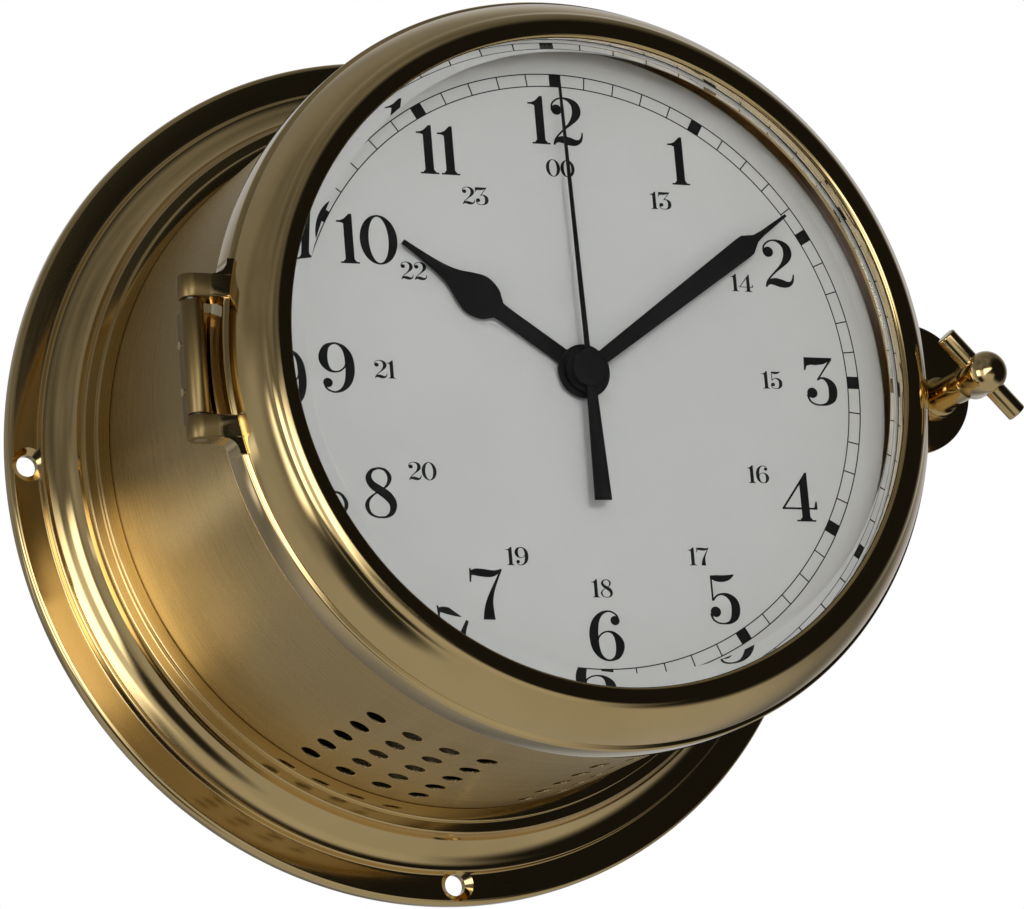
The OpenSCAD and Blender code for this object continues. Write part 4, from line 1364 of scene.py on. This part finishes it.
@dataclass
class Figures:
    """Upright figures with thick stems, hairlines and ball ends, one unit high."""

    thick: float = 0.175
    hair: float = 0.036
    gap: float = 0.02
    slab: float = 0.034
    bracket_out: float = 0.05
    bracket_ends: Point = (0.03, 0.09)
    widths: Dict[str, float] = field(default_factory=lambda: {
        "0": 0.74, "1": 0.40, "2": 0.66, "3": 0.68, "4": 0.74,
        "5": 0.64, "6": 0.70, "7": 0.66, "8": 0.66, "9": 0.70,
    })

    def oval(self) -> List[Loop]:
        """The nought.

        Returns:
            Loops that join to its shape.
        """
        half = self.widths["0"] / 2
        outer = arc((half, 0.5), (half, 0.5), 0.0, 360.0, 48)
        inner = arc((half, 0.5), (half - self.thick, 0.5 - self.hair), 0.0, 360.0, 48)
        return ribbon(outer, inner)

    def six(self) -> List[Loop]:
        """The six, whose half turn is the nine.

        Returns:
            Loops that join to its shape.
        """
        stroke = Stroke((
            (0.615, 0.79, 0.05), (0.585, 0.90, 0.036), (0.50, 0.965, 0.036), (0.40, 0.982, 0.038),
            (0.27, 0.93, 0.075), (0.16, 0.80, 0.135), (0.105, 0.62, 0.175), (0.095, 0.44, 0.18),
            (0.12, 0.25, 0.155), (0.20, 0.10, 0.09), (0.32, 0.024, 0.042), (0.43, 0.03, 0.05),
            (0.545, 0.11, 0.12), (0.605, 0.28, 0.175), (0.585, 0.42, 0.155), (0.50, 0.545, 0.075),
            (0.39, 0.583, 0.036), (0.28, 0.555, 0.034), (0.19, 0.47, 0.034), (0.16, 0.36, 0.04),
        ))
        return stroke.loops() + [circle((0.545, 0.80), 0.092, 24)]

    def loops(self, figure: str) -> List[Loop]:
        """The loops of one figure.

        Args:
            figure: a digit.

        Returns:
            Loops that join to its shape.
        """
        if figure == "0":
            return self.oval()
        if figure == "1":
            left, right = 0.115, 0.115 + self.thick
            stem = [(left, 0.0), (right, 0.0), (right, 1.0), (0.235, 1.0), (left, 0.88)]
            flag = [
                (right, 1.0), (0.235, 1.0), (0.15, 0.905), (0.06, 0.865), (-0.02, 0.855),
                (-0.02, 0.825), (0.06, 0.82), (0.14, 0.79), (0.2, 0.7),
            ]
            return [stem, flag] + self.foot(0.2025, 0.185)
        if figure == "2":
            bowl = Stroke((
                (0.05, 0.72, 0.04), (0.06, 0.85, 0.036), (0.15, 0.945, 0.036), (0.28, 0.983, 0.036),
                (0.42, 0.945, 0.085), (0.525, 0.85, 0.155), (0.555, 0.72, 0.18), (0.515, 0.595, 0.15),
                (0.41, 0.46, 0.08), (0.27, 0.33, 0.045), (0.14, 0.20, 0.038), (0.07, 0.10, 0.038),
                (0.045, 0.0, 0.04),
            ))
            base = Stroke((
                (0.05, 0.03, 0.04), (0.12, 0.10, 0.10), (0.23, 0.115, 0.155), (0.36, 0.085, 0.17),
                (0.48, 0.065, 0.13), (0.575, 0.10, 0.075), (0.62, 0.18, 0.045), (0.638, 0.28, 0.026),
            ))
            return bowl.loops() + base.loops() + [circle((0.145, 0.735), 0.108, 24)]
        if figure == "3":
            bar = [
                (0.03, 1.0), (0.63, 1.0), (0.60, 0.95), (0.44, 0.865), (0.28, 0.84), (0.16, 0.845),
                (0.075, 0.82), (0.045, 0.73), (0.015, 0.73),
            ]
            slope = Stroke(((0.605, 0.975, 0.045), (0.46, 0.78, 0.036), (0.29, 0.545, 0.036)))
            bowl = Stroke((
                (0.275, 0.535, 0.04), (0.37, 0.575, 0.04), (0.47, 0.545, 0.085), (0.565, 0.44, 0.16),
                (0.59, 0.30, 0.185), (0.555, 0.15, 0.155), (0.45, 0.05, 0.075), (0.32, 0.018, 0.036),
                (0.19, 0.03, 0.036), (0.085, 0.10, 0.04), (0.045, 0.23, 0.05),
            ))
            return [bar] + slope.loops() + bowl.loops() + [circle((0.145, 0.265), 0.108, 24)]
        if figure == "4":
            stem = [(0.40, 0.02), (0.57, 0.02), (0.57, 1.0), (0.535, 1.0), (0.40, 0.80)]
            slope = Stroke(((0.548, 0.985, 0.045), (0.28, 0.62, 0.042), (0.02, 0.265, 0.04)))
            bar = [(0.0, 0.245), (0.735, 0.245), (0.735, 0.285), (0.0, 0.285)]
            tick = [(0.665, 0.27), (0.735, 0.245), (0.735, 0.41), (0.705, 0.41)]
            return [stem, bar, tick] + slope.loops() + self.foot(0.485, 0.2)
        if figure == "5":
            flag = Stroke((
                (0.09, 0.955, 0.05), (0.19, 0.925, 0.12), (0.33, 0.915, 0.135), (0.46, 0.94, 0.105),
                (0.575, 0.995, 0.026),
            ))
            stem = [(0.085, 0.47), (0.122, 0.47), (0.122, 0.97), (0.085, 0.97)]
            bowl = Stroke((
                (0.105, 0.475, 0.036), (0.19, 0.57, 0.038), (0.30, 0.605, 0.045), (0.43, 0.57, 0.10),
                (0.535, 0.46, 0.16), (0.56, 0.31, 0.18), (0.525, 0.155, 0.155), (0.43, 0.05, 0.075),
                (0.31, 0.018, 0.036), (0.18, 0.03, 0.036), (0.08, 0.10, 0.04), (0.043, 0.22, 0.05),
            ))
            return [stem] + flag.loops() + bowl.loops() + [circle((0.142, 0.25), 0.106, 24)]
        if figure == "6":
            return self.six()
        if figure == "7":
            bar = Stroke((
                (0.03, 0.90, 0.07), (0.12, 0.925, 0.135), (0.26, 0.915, 0.155), (0.42, 0.90, 0.14),
                (0.54, 0.925, 0.09), (0.645, 0.985, 0.03),
            ))
            tick = [(0.012, 1.0), (0.045, 1.0), (0.05, 0.86), (0.03, 0.73), (0.0, 0.73)]
            leg = Stroke((
                (0.64, 0.985, 0.036), (0.53, 0.76, 0.05), (0.43, 0.54, 0.085), (0.365, 0.34, 0.14),
                (0.34, 0.15, 0.20), (0.335, 0.0, 0.235),
            ))
            return [tick] + bar.loops() + leg.loops()
        if figure == "8":
            ess = Stroke((
                (0.34, 0.982, 0.036), (0.20, 0.935, 0.065), (0.125, 0.80, 0.115), (0.18, 0.66, 0.15),
                (0.33, 0.545, 0.175), (0.48, 0.43, 0.18), (0.565, 0.28, 0.15), (0.53, 0.115, 0.10),
                (0.42, 0.03, 0.05), (0.32, 0.018, 0.036),
            ))
            back = Stroke((
                (0.33, 0.982, 0.036), (0.46, 0.94, 0.06), (0.53, 0.81, 0.085), (0.49, 0.67, 0.06),
                (0.38, 0.565, 0.036), (0.22, 0.47, 0.036), (0.10, 0.36, 0.06), (0.06, 0.23, 0.085),
                (0.11, 0.095, 0.06), (0.22, 0.028, 0.038), (0.33, 0.018, 0.036),
            ))
            return ess.loops() + back.loops()
        width = self.widths["9"]
        return [[(width - x, 1.0 - y) for x, y in loop] for loop in self.six()]

    def foot(self, middle: float, half: float) -> List[Loop]:
        """A thin slab under a stem, with small brackets.

        Args:
            middle: where the stem's middle stands.
            half: half the slab's width.

        Returns:
            Two loops.
        """
        start, end = middle - half, middle + half
        slab = [(start, 0.0), (end, 0.0), (end, self.slab), (start, self.slab)]
        left, right = middle - self.thick / 2, middle + self.thick / 2
        low, high = self.bracket_ends
        out = self.bracket_out
        return [slab, [(left - out, low), (right + out, low), (right, high), (left, high)]]

    def number(self, digits: str, centre: Point, height: float, stretch: float) -> List[Loop]:
        """A number centred on a point.

        Args:
            digits: its digits.
            centre: where its middle stands.
            height: its height in millimetres.
            stretch: its width against the figures' own.

        Returns:
            Its loops in millimetres.
        """
        total = sum(self.widths[d] for d in digits) + self.gap * (len(digits) - 1)
        wide = height * stretch
        left = -total / 2
        loops: List[Loop] = []
        for digit in digits:
            for loop in self.loops(digit):
                loop = [((left + x) * wide, (y - 0.5) * height) for x, y in loop]
                loops.append([(centre[0] + x, centre[1] + y) for x, y in loop])
            left += self.widths[digit] + self.gap
        return loops


@dataclass
class Dial:
    """The enamelled dial with its printed track and numbers."""

    radius: float = 66.0
    hole: float = 4.1
    rear: float = 77.0
    face: float = 78.0
    ink: float = 0.03
    track_in: float = 58.0
    track_out: float = 60.5
    line: float = 0.22
    line_steps: int = 240
    tick: float = 0.24
    block: float = 2.5
    hour_radius: float = 51.0
    hour_height: float = 9.85
    hour_stretch: float = 1.06
    day_radius: float = 41.3
    day_height: float = 3.55
    day_stretch: float = 1.15
    nudges: Dict[str, Point] = field(default_factory=lambda: {
        "2": (1.0, -1.5), "3": (1.0, 0.0), "4": (0.5, 2.0), "5": (0.5, 0.0), "6": (0.5, -0.5),
        "7": (2.0, 0.5), "8": (0.5, 1.0), "9": (0.5, -0.5), "10": (2.0, -0.5), "11": (-0.5, -0.5),
        "12": (-0.5, 0.0),
        "14": (1.0, -1.0), "16": (0.5, 1.5), "17": (1.0, 0.0), "18": (0.5, -1.0), "19": (4.0, -0.5),
        "20": (1.0, 0.5), "21": (0.5, -0.5), "22": (2.5, -1.5), "23": (1.5, -1.0), "00": (-0.5, 0.0),
    })
    figures: Figures = field(default_factory=Figures)

    def ring(self, radius: float) -> List[Loop]:
        """A thin printed circle.

        Args:
            radius: the radius of its middle.

        Returns:
            Loops that join to its shape.
        """
        half = self.line / 2
        radii = (radius + half, radius - half)
        return ribbon(*(arc((0.0, 0.0), r, 0.0, 360.0, self.line_steps) for r in radii))

    def track(self) -> List[Loop]:
        """The minute track.

        Returns:
            Loops that join to its shape.
        """
        loops = self.ring(self.track_in) + self.ring(self.track_out)
        for minute in range(60):
            half = (self.tick if minute % 5 else self.block) / 2
            low, high = self.track_in, self.track_out
            turn = Matrix.Rotation(math.radians(-6.0 * minute), 2)
            corners = [(-half, low), (half, low), (half, high), (-half, high)]
            loops.append([tuple(turn @ Vector(c)) for c in corners])
        return loops

    def numbers(self, names: Sequence[str], radius: float, height: float, stretch: float) -> List[Loop]:
        """A circle of numbers, of which some are nudged.

        Args:
            names: their digits, from one o'clock on.
            radius: where their middles stand.
            height: their height.
            stretch: their width against the figures' own.

        Returns:
            Their loops.
        """
        loops: List[Loop] = []
        for i, name in enumerate(names):
            x, y = polar(radius, 60.0 - 30.0 * i)
            right, up = self.nudges.get(name, (0.0, 0.0))
            loops += self.figures.number(name, (x + right, y + up), height, stretch)
        return loops

    def build(self, shop: Workshop) -> None:
        """Makes the plate and its print.

        Args:
            shop: where its pieces are fitted.
        """
        section = eased_box((self.hole, self.radius), (self.rear, self.face), (0.1, 0.1, 0.2, 0.1))
        shop.fit("dial_enamelled", lathe(section), Body.CASE, Slot.ENAMEL, ["dial_plate"])
        names = [str(h) for h in range(1, 24)] + ["00"]
        hours = self.numbers(names[:12], self.hour_radius, self.hour_height, self.hour_stretch)
        day = self.numbers(names[12:], self.day_radius, self.day_height, self.day_stretch)
        prints = {"print_hours": hours, "print_day_hours": day, "print_minutes": self.track()}
        for name, loops in prints.items():
            work = plate(loops, [], self.face, self.face + self.ink)
            shop.fit(name, work, Body.CASE, Slot.BLACK)


@dataclass
class Hands:
    """The three lacquered hands and the hub cap."""

    hour_angle: float = 304.5
    minute_angle: float = 54.5
    second_angle: float = 359.0
    hour_rear: float = 79.1
    minute_rear: float = 80.4
    second_rear: float = 81.7
    thickness: float = 0.6
    edge: float = 0.12
    second_edge: float = 0.1
    boss: float = 0.9
    boss_sunk: float = 0.02
    segments: int = 96
    hour_hub: float = 5.3
    minute_hub: float = 4.6
    second_hub: float = 3.7
    hour_bore: float = 2.7
    minute_bore: float = 1.6
    cap_front: float = 82.8
    hour_half_widths: Tuple[Point, ...] = (
        (0.0, 1.55), (12.0, 1.55), (19.6, 1.6), (20.8, 2.1), (22.4, 3.5), (24.6, 4.2), (26.4, 4.1),
        (28.6, 3.2), (30.8, 2.1), (33.2, 1.35), (36.0, 0.9), (39.5, 0.6), (43.2, 0.4),
    )
    minute_half_widths: Tuple[Point, ...] = (
        (0.0, 1.3), (44.6, 2.25), (45.8, 2.2), (48.2, 0.85), (50.0, 0.6), (57.0, 0.3),
    )
    second_half_widths: Tuple[Point, ...] = (
        (-26.0, 1.75), (0.0, 0.9), (3.7, 0.5), (57.4, 0.22),
    )

    def blade(self, widths: Sequence[Point], angle: float, smooth: bool) -> Loop:
        """A hand's outline at its angle.

        Args:
            widths: distance along the hand and half its width there.
            angle: clockwise angle from twelve o'clock.
            smooth: whether the sides run through the points in a curve.

        Returns:
            The outline.
        """
        sides = [(half, along) for along, half in widths]
        if smooth:
            sides = [(s.x, s.y) for s in Stroke(tuple((x, y, 0.0) for x, y in sides), 4).line()]
        outline = sides + [(-x, y) for x, y in reversed(sides)]
        turn = Matrix.Rotation(math.radians(-angle), 2)
        return [tuple(turn @ Vector(p)) for p in outline]

    def hand(self, outline: Loop, rear: float, hub: float, bore: float) -> bmesh.types.BMesh:
        """A flat hand with softened edges and a round boss.

        Args:
            outline: its outline.
            rear: depth of its rear face.
            hub: radius of its boss.
            bore: radius of the hole in it.

        Returns:
            A work mesh.
        """
        blade = plate([outline], [circle((0.0, 0.0), bore, 32)], rear, rear + self.thickness, self.edge)
        depths = (rear - self.boss_sunk, rear + self.boss)
        boss = eased_box((bore, hub), depths, (0.0, 0.1, 0.2, 0.0), 4)
        return joined([blade, lathe(boss, segments=self.segments)])

    def build(self, shop: Workshop) -> None:
        """Makes the hands.

        Args:
            shop: where its pieces are fitted.
        """
        hour = self.blade(self.hour_half_widths, self.hour_angle, True)
        minute = self.blade(self.minute_half_widths, self.minute_angle, False)
        second = self.blade(self.second_half_widths, self.second_angle, False)
        spade = self.hand(hour, self.hour_rear, self.hour_hub, self.hour_bore)
        baton = self.hand(minute, self.minute_rear, self.minute_hub, self.minute_bore)
        shop.fit("hour_hand_spade", spade, Body.HOUR, Slot.BLACK, ["hour_hand"])
        shop.fit("minute_hand_baton", baton, Body.MINUTE, Slot.BLACK, ["minute_hand"])
        top = self.second_rear + self.thickness
        dome = [(0.0, self.second_rear), (self.second_hub, self.second_rear)]
        dome += arc((0.0, top), (self.second_hub, self.cap_front - top), 0.0, 90.0, 16)
        blade = plate([second], [], self.second_rear, top, self.second_edge)
        sweep = joined([blade, lathe(dome, segments=self.segments)])
        shop.fit("second_hand_sweep", sweep, Body.SECOND, Slot.BLACK, ["second_hand"])


@dataclass
class Rear:
    """The cover over the back of the drum, with its screws."""

    cover_radius: float = 69.8
    cover_rear: float = 2.0
    cover_front: float = 3.5
    cover_edge: float = 0.15
    screw_circle: float = 66.0
    screws: int = 6
    first_angle: float = 30.0
    first_turn: float = 25.0
    turn_step: float = 47.0
    screw_bore: float = 1.55
    head: float = 2.8
    head_height: float = 1.4
    head_round: float = 0.7
    shank: float = 1.5
    shank_tip: float = 7.0
    slot_width: float = 0.7
    slot_depth: float = 0.6
    overshoot: float = 1.0
    switch: Point = (-40.0, -30.0)
    switch_half: Point = (3.0, 1.6)
    switch_travel: float = 4.0
    window_round: float = 0.5

    def spots(self) -> List[Point]:
        """Where the screws stand."""
        angles = [self.first_angle + i * 360.0 / self.screws for i in range(self.screws)]
        return [polar(self.screw_circle, angle) for angle in angles]

    def screw(self, spot: Point, turn: float) -> bmesh.types.BMesh:
        """One slotted pan-head screw.

        Args:
            spot: where it stands.
            turn: the angle of its slot.

        Returns:
            Its work mesh.
        """
        rear = self.cover_rear - self.head_height
        shank = [
            (0.0, self.shank_tip), (self.shank, self.shank_tip),
            (self.shank, self.cover_rear), (self.head, self.cover_rear),
        ]
        edge = arc((self.head - self.head_round, rear + self.head_round), self.head_round, 0.0, -90.0, 8)
        half = self.slot_width / 2
        reach = self.head + self.overshoot
        bar = [(-reach, -half), (reach, -half), (reach, half), (-reach, half)]
        cutter = plate([bar], [], rear - self.overshoot, rear + self.slot_depth)
        place = Matrix.Translation((spot[0] * MM, spot[1] * MM, 0.0))
        cutter = moved(cutter, place @ Matrix.Rotation(math.radians(turn), 4, "Z"))
        return carved(lathe(shank + edge + [(0.0, rear)], spot, 48), cutter)

    def build(self, shop: Workshop) -> None:
        """Makes the cover and its screws.

        Args:
            shop: where its pieces are fitted.
        """
        x, y = self.switch
        half_x, half_y = self.switch_half
        sides = (x - half_x, x + half_x + self.switch_travel)
        window = eased_box(sides, (y - half_y, y + half_y), (self.window_round,) * 4, 4)
        holes = [circle(spot, self.screw_bore, 24) for spot in self.spots()] + [window]
        disc = circle((0.0, 0.0), self.cover_radius, 192)
        cover = plate([disc], holes, self.cover_rear, self.cover_front, self.cover_edge)
        shop.fit("rear_cover_turned", cover, Body.CASE, Slot.PLAIN, ["rear_cover"])
        turns = [self.first_turn + self.turn_step * i for i in range(self.screws)]
        heads = joined([self.screw(spot, turn) for spot, turn in zip(self.spots(), turns)])
        shop.fit("rear_cover_slotted_screws", heads, Body.CASE, Slot.STEEL, ["rear_cover_screws"])


def direction(azimuth: float, elevation: float) -> Vector:
    """The direction from the clock at an azimuth right of its front and an elevation."""
    a, e = math.radians(azimuth), math.radians(elevation)
    return Vector((math.sin(a) * math.cos(e), -math.cos(a) * math.cos(e), math.sin(e)))


@dataclass(frozen=True)
class Lamp:
    """A soft rectangular lamp, aimed at the clock; reflections show the drapes' bright patches instead."""

    name: str
    azimuth: float
    elevation: float
    width: float
    height: float
    radiance: float
    distance: float = 1000.0

    def hang(self, aim: Vector) -> None:
        """Hangs the lamp.

        Args:
            aim: the point in millimetres that it is aimed at.
        """
        away = direction(self.azimuth, self.elevation)
        data = bpy.data.lights.new(self.name, "AREA")
        data.shape = "RECTANGLE"
        data.size = self.width * MM
        data.size_y = self.height * MM
        data.energy = self.radiance * math.pi * data.size * data.size_y
        thing = put(self.name, data)
        thing.visible_glossy = False
        turn = away.to_track_quat("Z", "Y").to_matrix().to_4x4()
        thing.matrix_world = Matrix.Translation((aim + away * self.distance) * MM) @ turn


@dataclass(frozen=True)
class Shade:
    """A soft round patch of the drapes as it is seen from the clock, with its grey."""

    azimuth: float
    elevation: float
    core: float
    edge: float
    grey: float


@dataclass(frozen=True)
class Patch:
    """A soft-edged four-sided patch of the drapes as it is seen from the clock, with its grey.

    The lower and the upper edge rise by so many degrees for each degree from the patch's left edge.
    """

    azimuths: Point
    elevations: Point
    edge: float
    grey: float
    rises: Point = (0.0, 0.0)

    def mask(self, azimuth: Wire, elevation: Wire) -> Wire:
        """How much of the patch shows in a direction.

        Args:
            azimuth: the direction's azimuth in degrees.
            elevation: its elevation in degrees.

        Returns:
            1 in the patch, 0 outside it and shares of 1 along its edges.
        """
        half = self.edge / 2
        left, right = self.azimuths
        below = elevation - (azimuth - left) * self.rises[0] - self.elevations[0]
        above = elevation - (azimuth - left) * self.rises[1] - self.elevations[1]
        wide = azimuth.ramp(left - half, left + half) * (1.0 - azimuth.ramp(right - half, right + half))
        return wide * below.ramp(-half, half) * (1.0 - above.ramp(-half, half))


@dataclass
class Studio:
    """The floor, the drapes, the lamps, the world and the camera."""

    aim: Tuple[float, float, float] = (2.966, -40.0, -5.41)
    azimuth: float = -25.064
    elevation: float = -13.887
    roll: float = -4.882
    distance: float = 898.9
    focal_pixels: float = 4500.0
    image_width: float = 1024.0
    sensor: float = 36.0
    clip: float = 10.0
    floor_height: float = -420.0
    floor_radius: float = 6000.0
    floor_tones: Tuple[Colour, Colour] = ((0.82, 0.82, 0.81, 1.0), (0.86, 0.86, 0.85, 1.0))
    floor_scale: float = 6.0
    floor_rough: float = 0.8
    floor_glow: float = 0.42
    ambient: float = 0.42
    drape_radius: float = 2500.0
    drape_grey: float = 0.13
    drape_scale: float = 0.8
    lamps: Tuple[Lamp, ...] = (
        Lamp("lamp_key", -7.0, 6.0, 130.0, 130.0, 40.0),
        Lamp("lamp_left", -70.0, 10.0, 900.0, 700.0, 1.2),
    )
    patches: Tuple[Patch, ...] = (
        Patch((-40.0, 25.0), (-40.0, -14.0), 14.0, 0.4),
        Patch((-64.0, -18.0), (-26.0, 2.0), 10.0, 0.7),
        Patch((-112.0, -78.0), (-28.0, 14.0), 14.0, 0.3),
        Patch((-165.0, -95.0), (4.0, 50.0), 16.0, 0.2),
        Patch((-165.0, -92.0), (-62.0, -14.0), 16.0, 0.34),
        Patch((-150.0, -100.0), (-7.0, -3.0), 4.0, 0.9),
        Patch((-70.0, -47.0), (-22.0, 3.0), 9.0, 2.6),
        Patch((-24.0, 13.0), (-20.0, 6.0), 10.0, 2.8, (0.74, 0.13)),
    )
    shades: Tuple[Shade, ...] = (
        Shade(0.0, -90.0, 45.0, 72.0, 0.35),
        Shade(-170.0, 40.0, 30.0, 60.0, 0.22),
        Shade(150.0, 20.0, 15.0, 50.0, 0.45),
        Shade(-56.0, -42.0, 9.0, 24.0, 0.02),
        Shade(50.0, 5.0, 32.0, 55.0, 0.01),
    )

    def camera(self) -> None:
        """Sets the camera at the photograph's place."""
        away = direction(self.azimuth, self.elevation)
        turn = math.radians(self.azimuth)
        roll = math.radians(self.roll)
        right = Vector((math.cos(turn), math.sin(turn), 0.0))
        up = away.cross(right)
        turned_right = math.cos(roll) * right + math.sin(roll) * up
        turned_up = math.cos(roll) * up - math.sin(roll) * right
        data = bpy.data.cameras.new("photo_camera")
        data.sensor_fit = "HORIZONTAL"
        data.sensor_width = self.sensor
        data.lens = self.focal_pixels / self.image_width * self.sensor
        data.clip_start = self.clip * MM
        camera = put("photo_camera", data)
        axes = Matrix((turned_right, turned_up, away)).transposed().to_4x4()
        place = (Vector(self.aim) + away * self.distance) * MM
        camera.matrix_world = Matrix.Translation(place) @ axes
        bpy.context.scene.camera = camera

    def world(self) -> None:
        """A white surround that the camera, metal and glass see, and a calmer one that lights."""
        graph = Graph("white_surround", bpy.data.worlds)
        seen = graph.rays("Is Camera Ray", "Is Glossy Ray", "Is Transmission Ray")
        strength = seen * (1.0 - self.ambient) + self.ambient
        sky = graph.node("ShaderNodeBackground", None, {"Color": (1.0, 1.0, 1.0, 1.0), "Strength": strength})
        graph.node("ShaderNodeOutputWorld", None, {"Surface": sky})
        bpy.context.scene.world = graph.holder

    def set_stage(self, name: str, work: bmesh.types.BMesh, material: bpy.types.Material) -> bpy.types.Object:
        """Puts a piece of the studio in place.

        Args:
            name: its name.
            work: its work mesh in metres.
            material: its material.

        Returns:
            The object.
        """
        thing = put(name, mesh_from(work, name))
        thing.data.materials.append(material)
        return thing

    def drapes(self) -> None:
        """Dark drapes round the set, which only reflections show."""
        graph = Graph("dark_drapes")
        place = graph.place()
        way = graph.vector("NORMALIZE", place)
        grey = graph.noise(place, self.drape_scale) * (2.0 * self.drape_grey)
        for shade in self.shades:
            middle = tuple(direction(shade.azimuth, shade.elevation))
            near = graph.vector("DOT_PRODUCT", way, middle, "Value")
            mask = near.ramp(math.cos(math.radians(shade.edge)), math.cos(math.radians(shade.core)))
            grey = grey + mask * (shade.grey - grey)
        x, y, z = (graph.axis(way, name) for name in "XYZ")
        azimuth = graph.node("ShaderNodeMath", {"operation": "ARCTAN2"}, {0: x, 1: 0.0 - y})
        elevation = graph.node("ShaderNodeMath", {"operation": "ARCSINE"}, {0: z})
        azimuth, elevation = azimuth * math.degrees(1.0), elevation * math.degrees(1.0)
        for patch in self.patches:
            mask = patch.mask(azimuth, elevation)
            grey = grey + mask * (patch.grey - grey)
        reflected = graph.node("ShaderNodeLightPath", output="Glossy Depth").ramp(0.0, 1.0)
        glow = graph.node("ShaderNodeEmission", None, {"Color": grey})
        clear = graph.node("ShaderNodeBsdfTransparent")
        cloth = graph.node("ShaderNodeMixShader", None, {0: reflected, 1: clear, 2: glow})
        graph.node("ShaderNodeOutputMaterial", None, {"Surface": cloth})
        work = bmesh.new()
        bmesh.ops.create_uvsphere(work, u_segments=48, v_segments=24, radius=self.drape_radius * MM)
        thing = self.set_stage("dark_drapes", work, graph.holder)
        for ray in ("camera", "diffuse", "volume_scatter", "shadow"):
            setattr(thing, "visible_" + ray, False)

    def floor(self) -> None:
        """A wide pale floor, which glows a little where the camera sees it."""
        graph = Graph("pale_floor")
        clouds = graph.noise(graph.place(), self.floor_scale, 4.0)
        seen = graph.rays("Is Camera Ray", "Is Transmission Ray")
        glow = (self.floor_glow, self.floor_glow, self.floor_glow, 1.0)
        pale = graph.surface(
            Base_Color=graph.blend(clouds, *self.floor_tones),
            Roughness=self.floor_rough,
            Emission_Color=graph.blend(seen, (0.0, 0.0, 0.0, 1.0), glow),
            Emission_Strength=1.0,
        )
        work = bmesh.new()
        bmesh.ops.create_circle(work, cap_ends=True, segments=96, radius=self.floor_radius * MM)
        thing = self.set_stage("pale_floor", work, pale)
        thing.location.z = self.floor_height * MM
        thing.visible_glossy = False

    def build(self) -> None:
        """Sets the studio up."""
        self.camera()
        self.world()
        self.floor()
        self.drapes()
        for lamp in self.lamps:
            lamp.hang(Vector(self.aim))


def main() -> None:
    """Builds the clock and the studio."""
    logging.basicConfig(level=logging.INFO, format="%(name)s: %(message)s")
    bpy.context.scene.view_settings.view_transform = "Standard"
    finishes = Finishes()
    finishes.dress_nodes()
    shop = Workshop(finishes)
    Studio().build()
    for assembly in (WallFlange(), Drum(), Bezel(), Hinge(), LockScrew(), Dial(), Hands(), Rear()):
        assembly.build(shop)


if __name__ == "__main__":
    main()
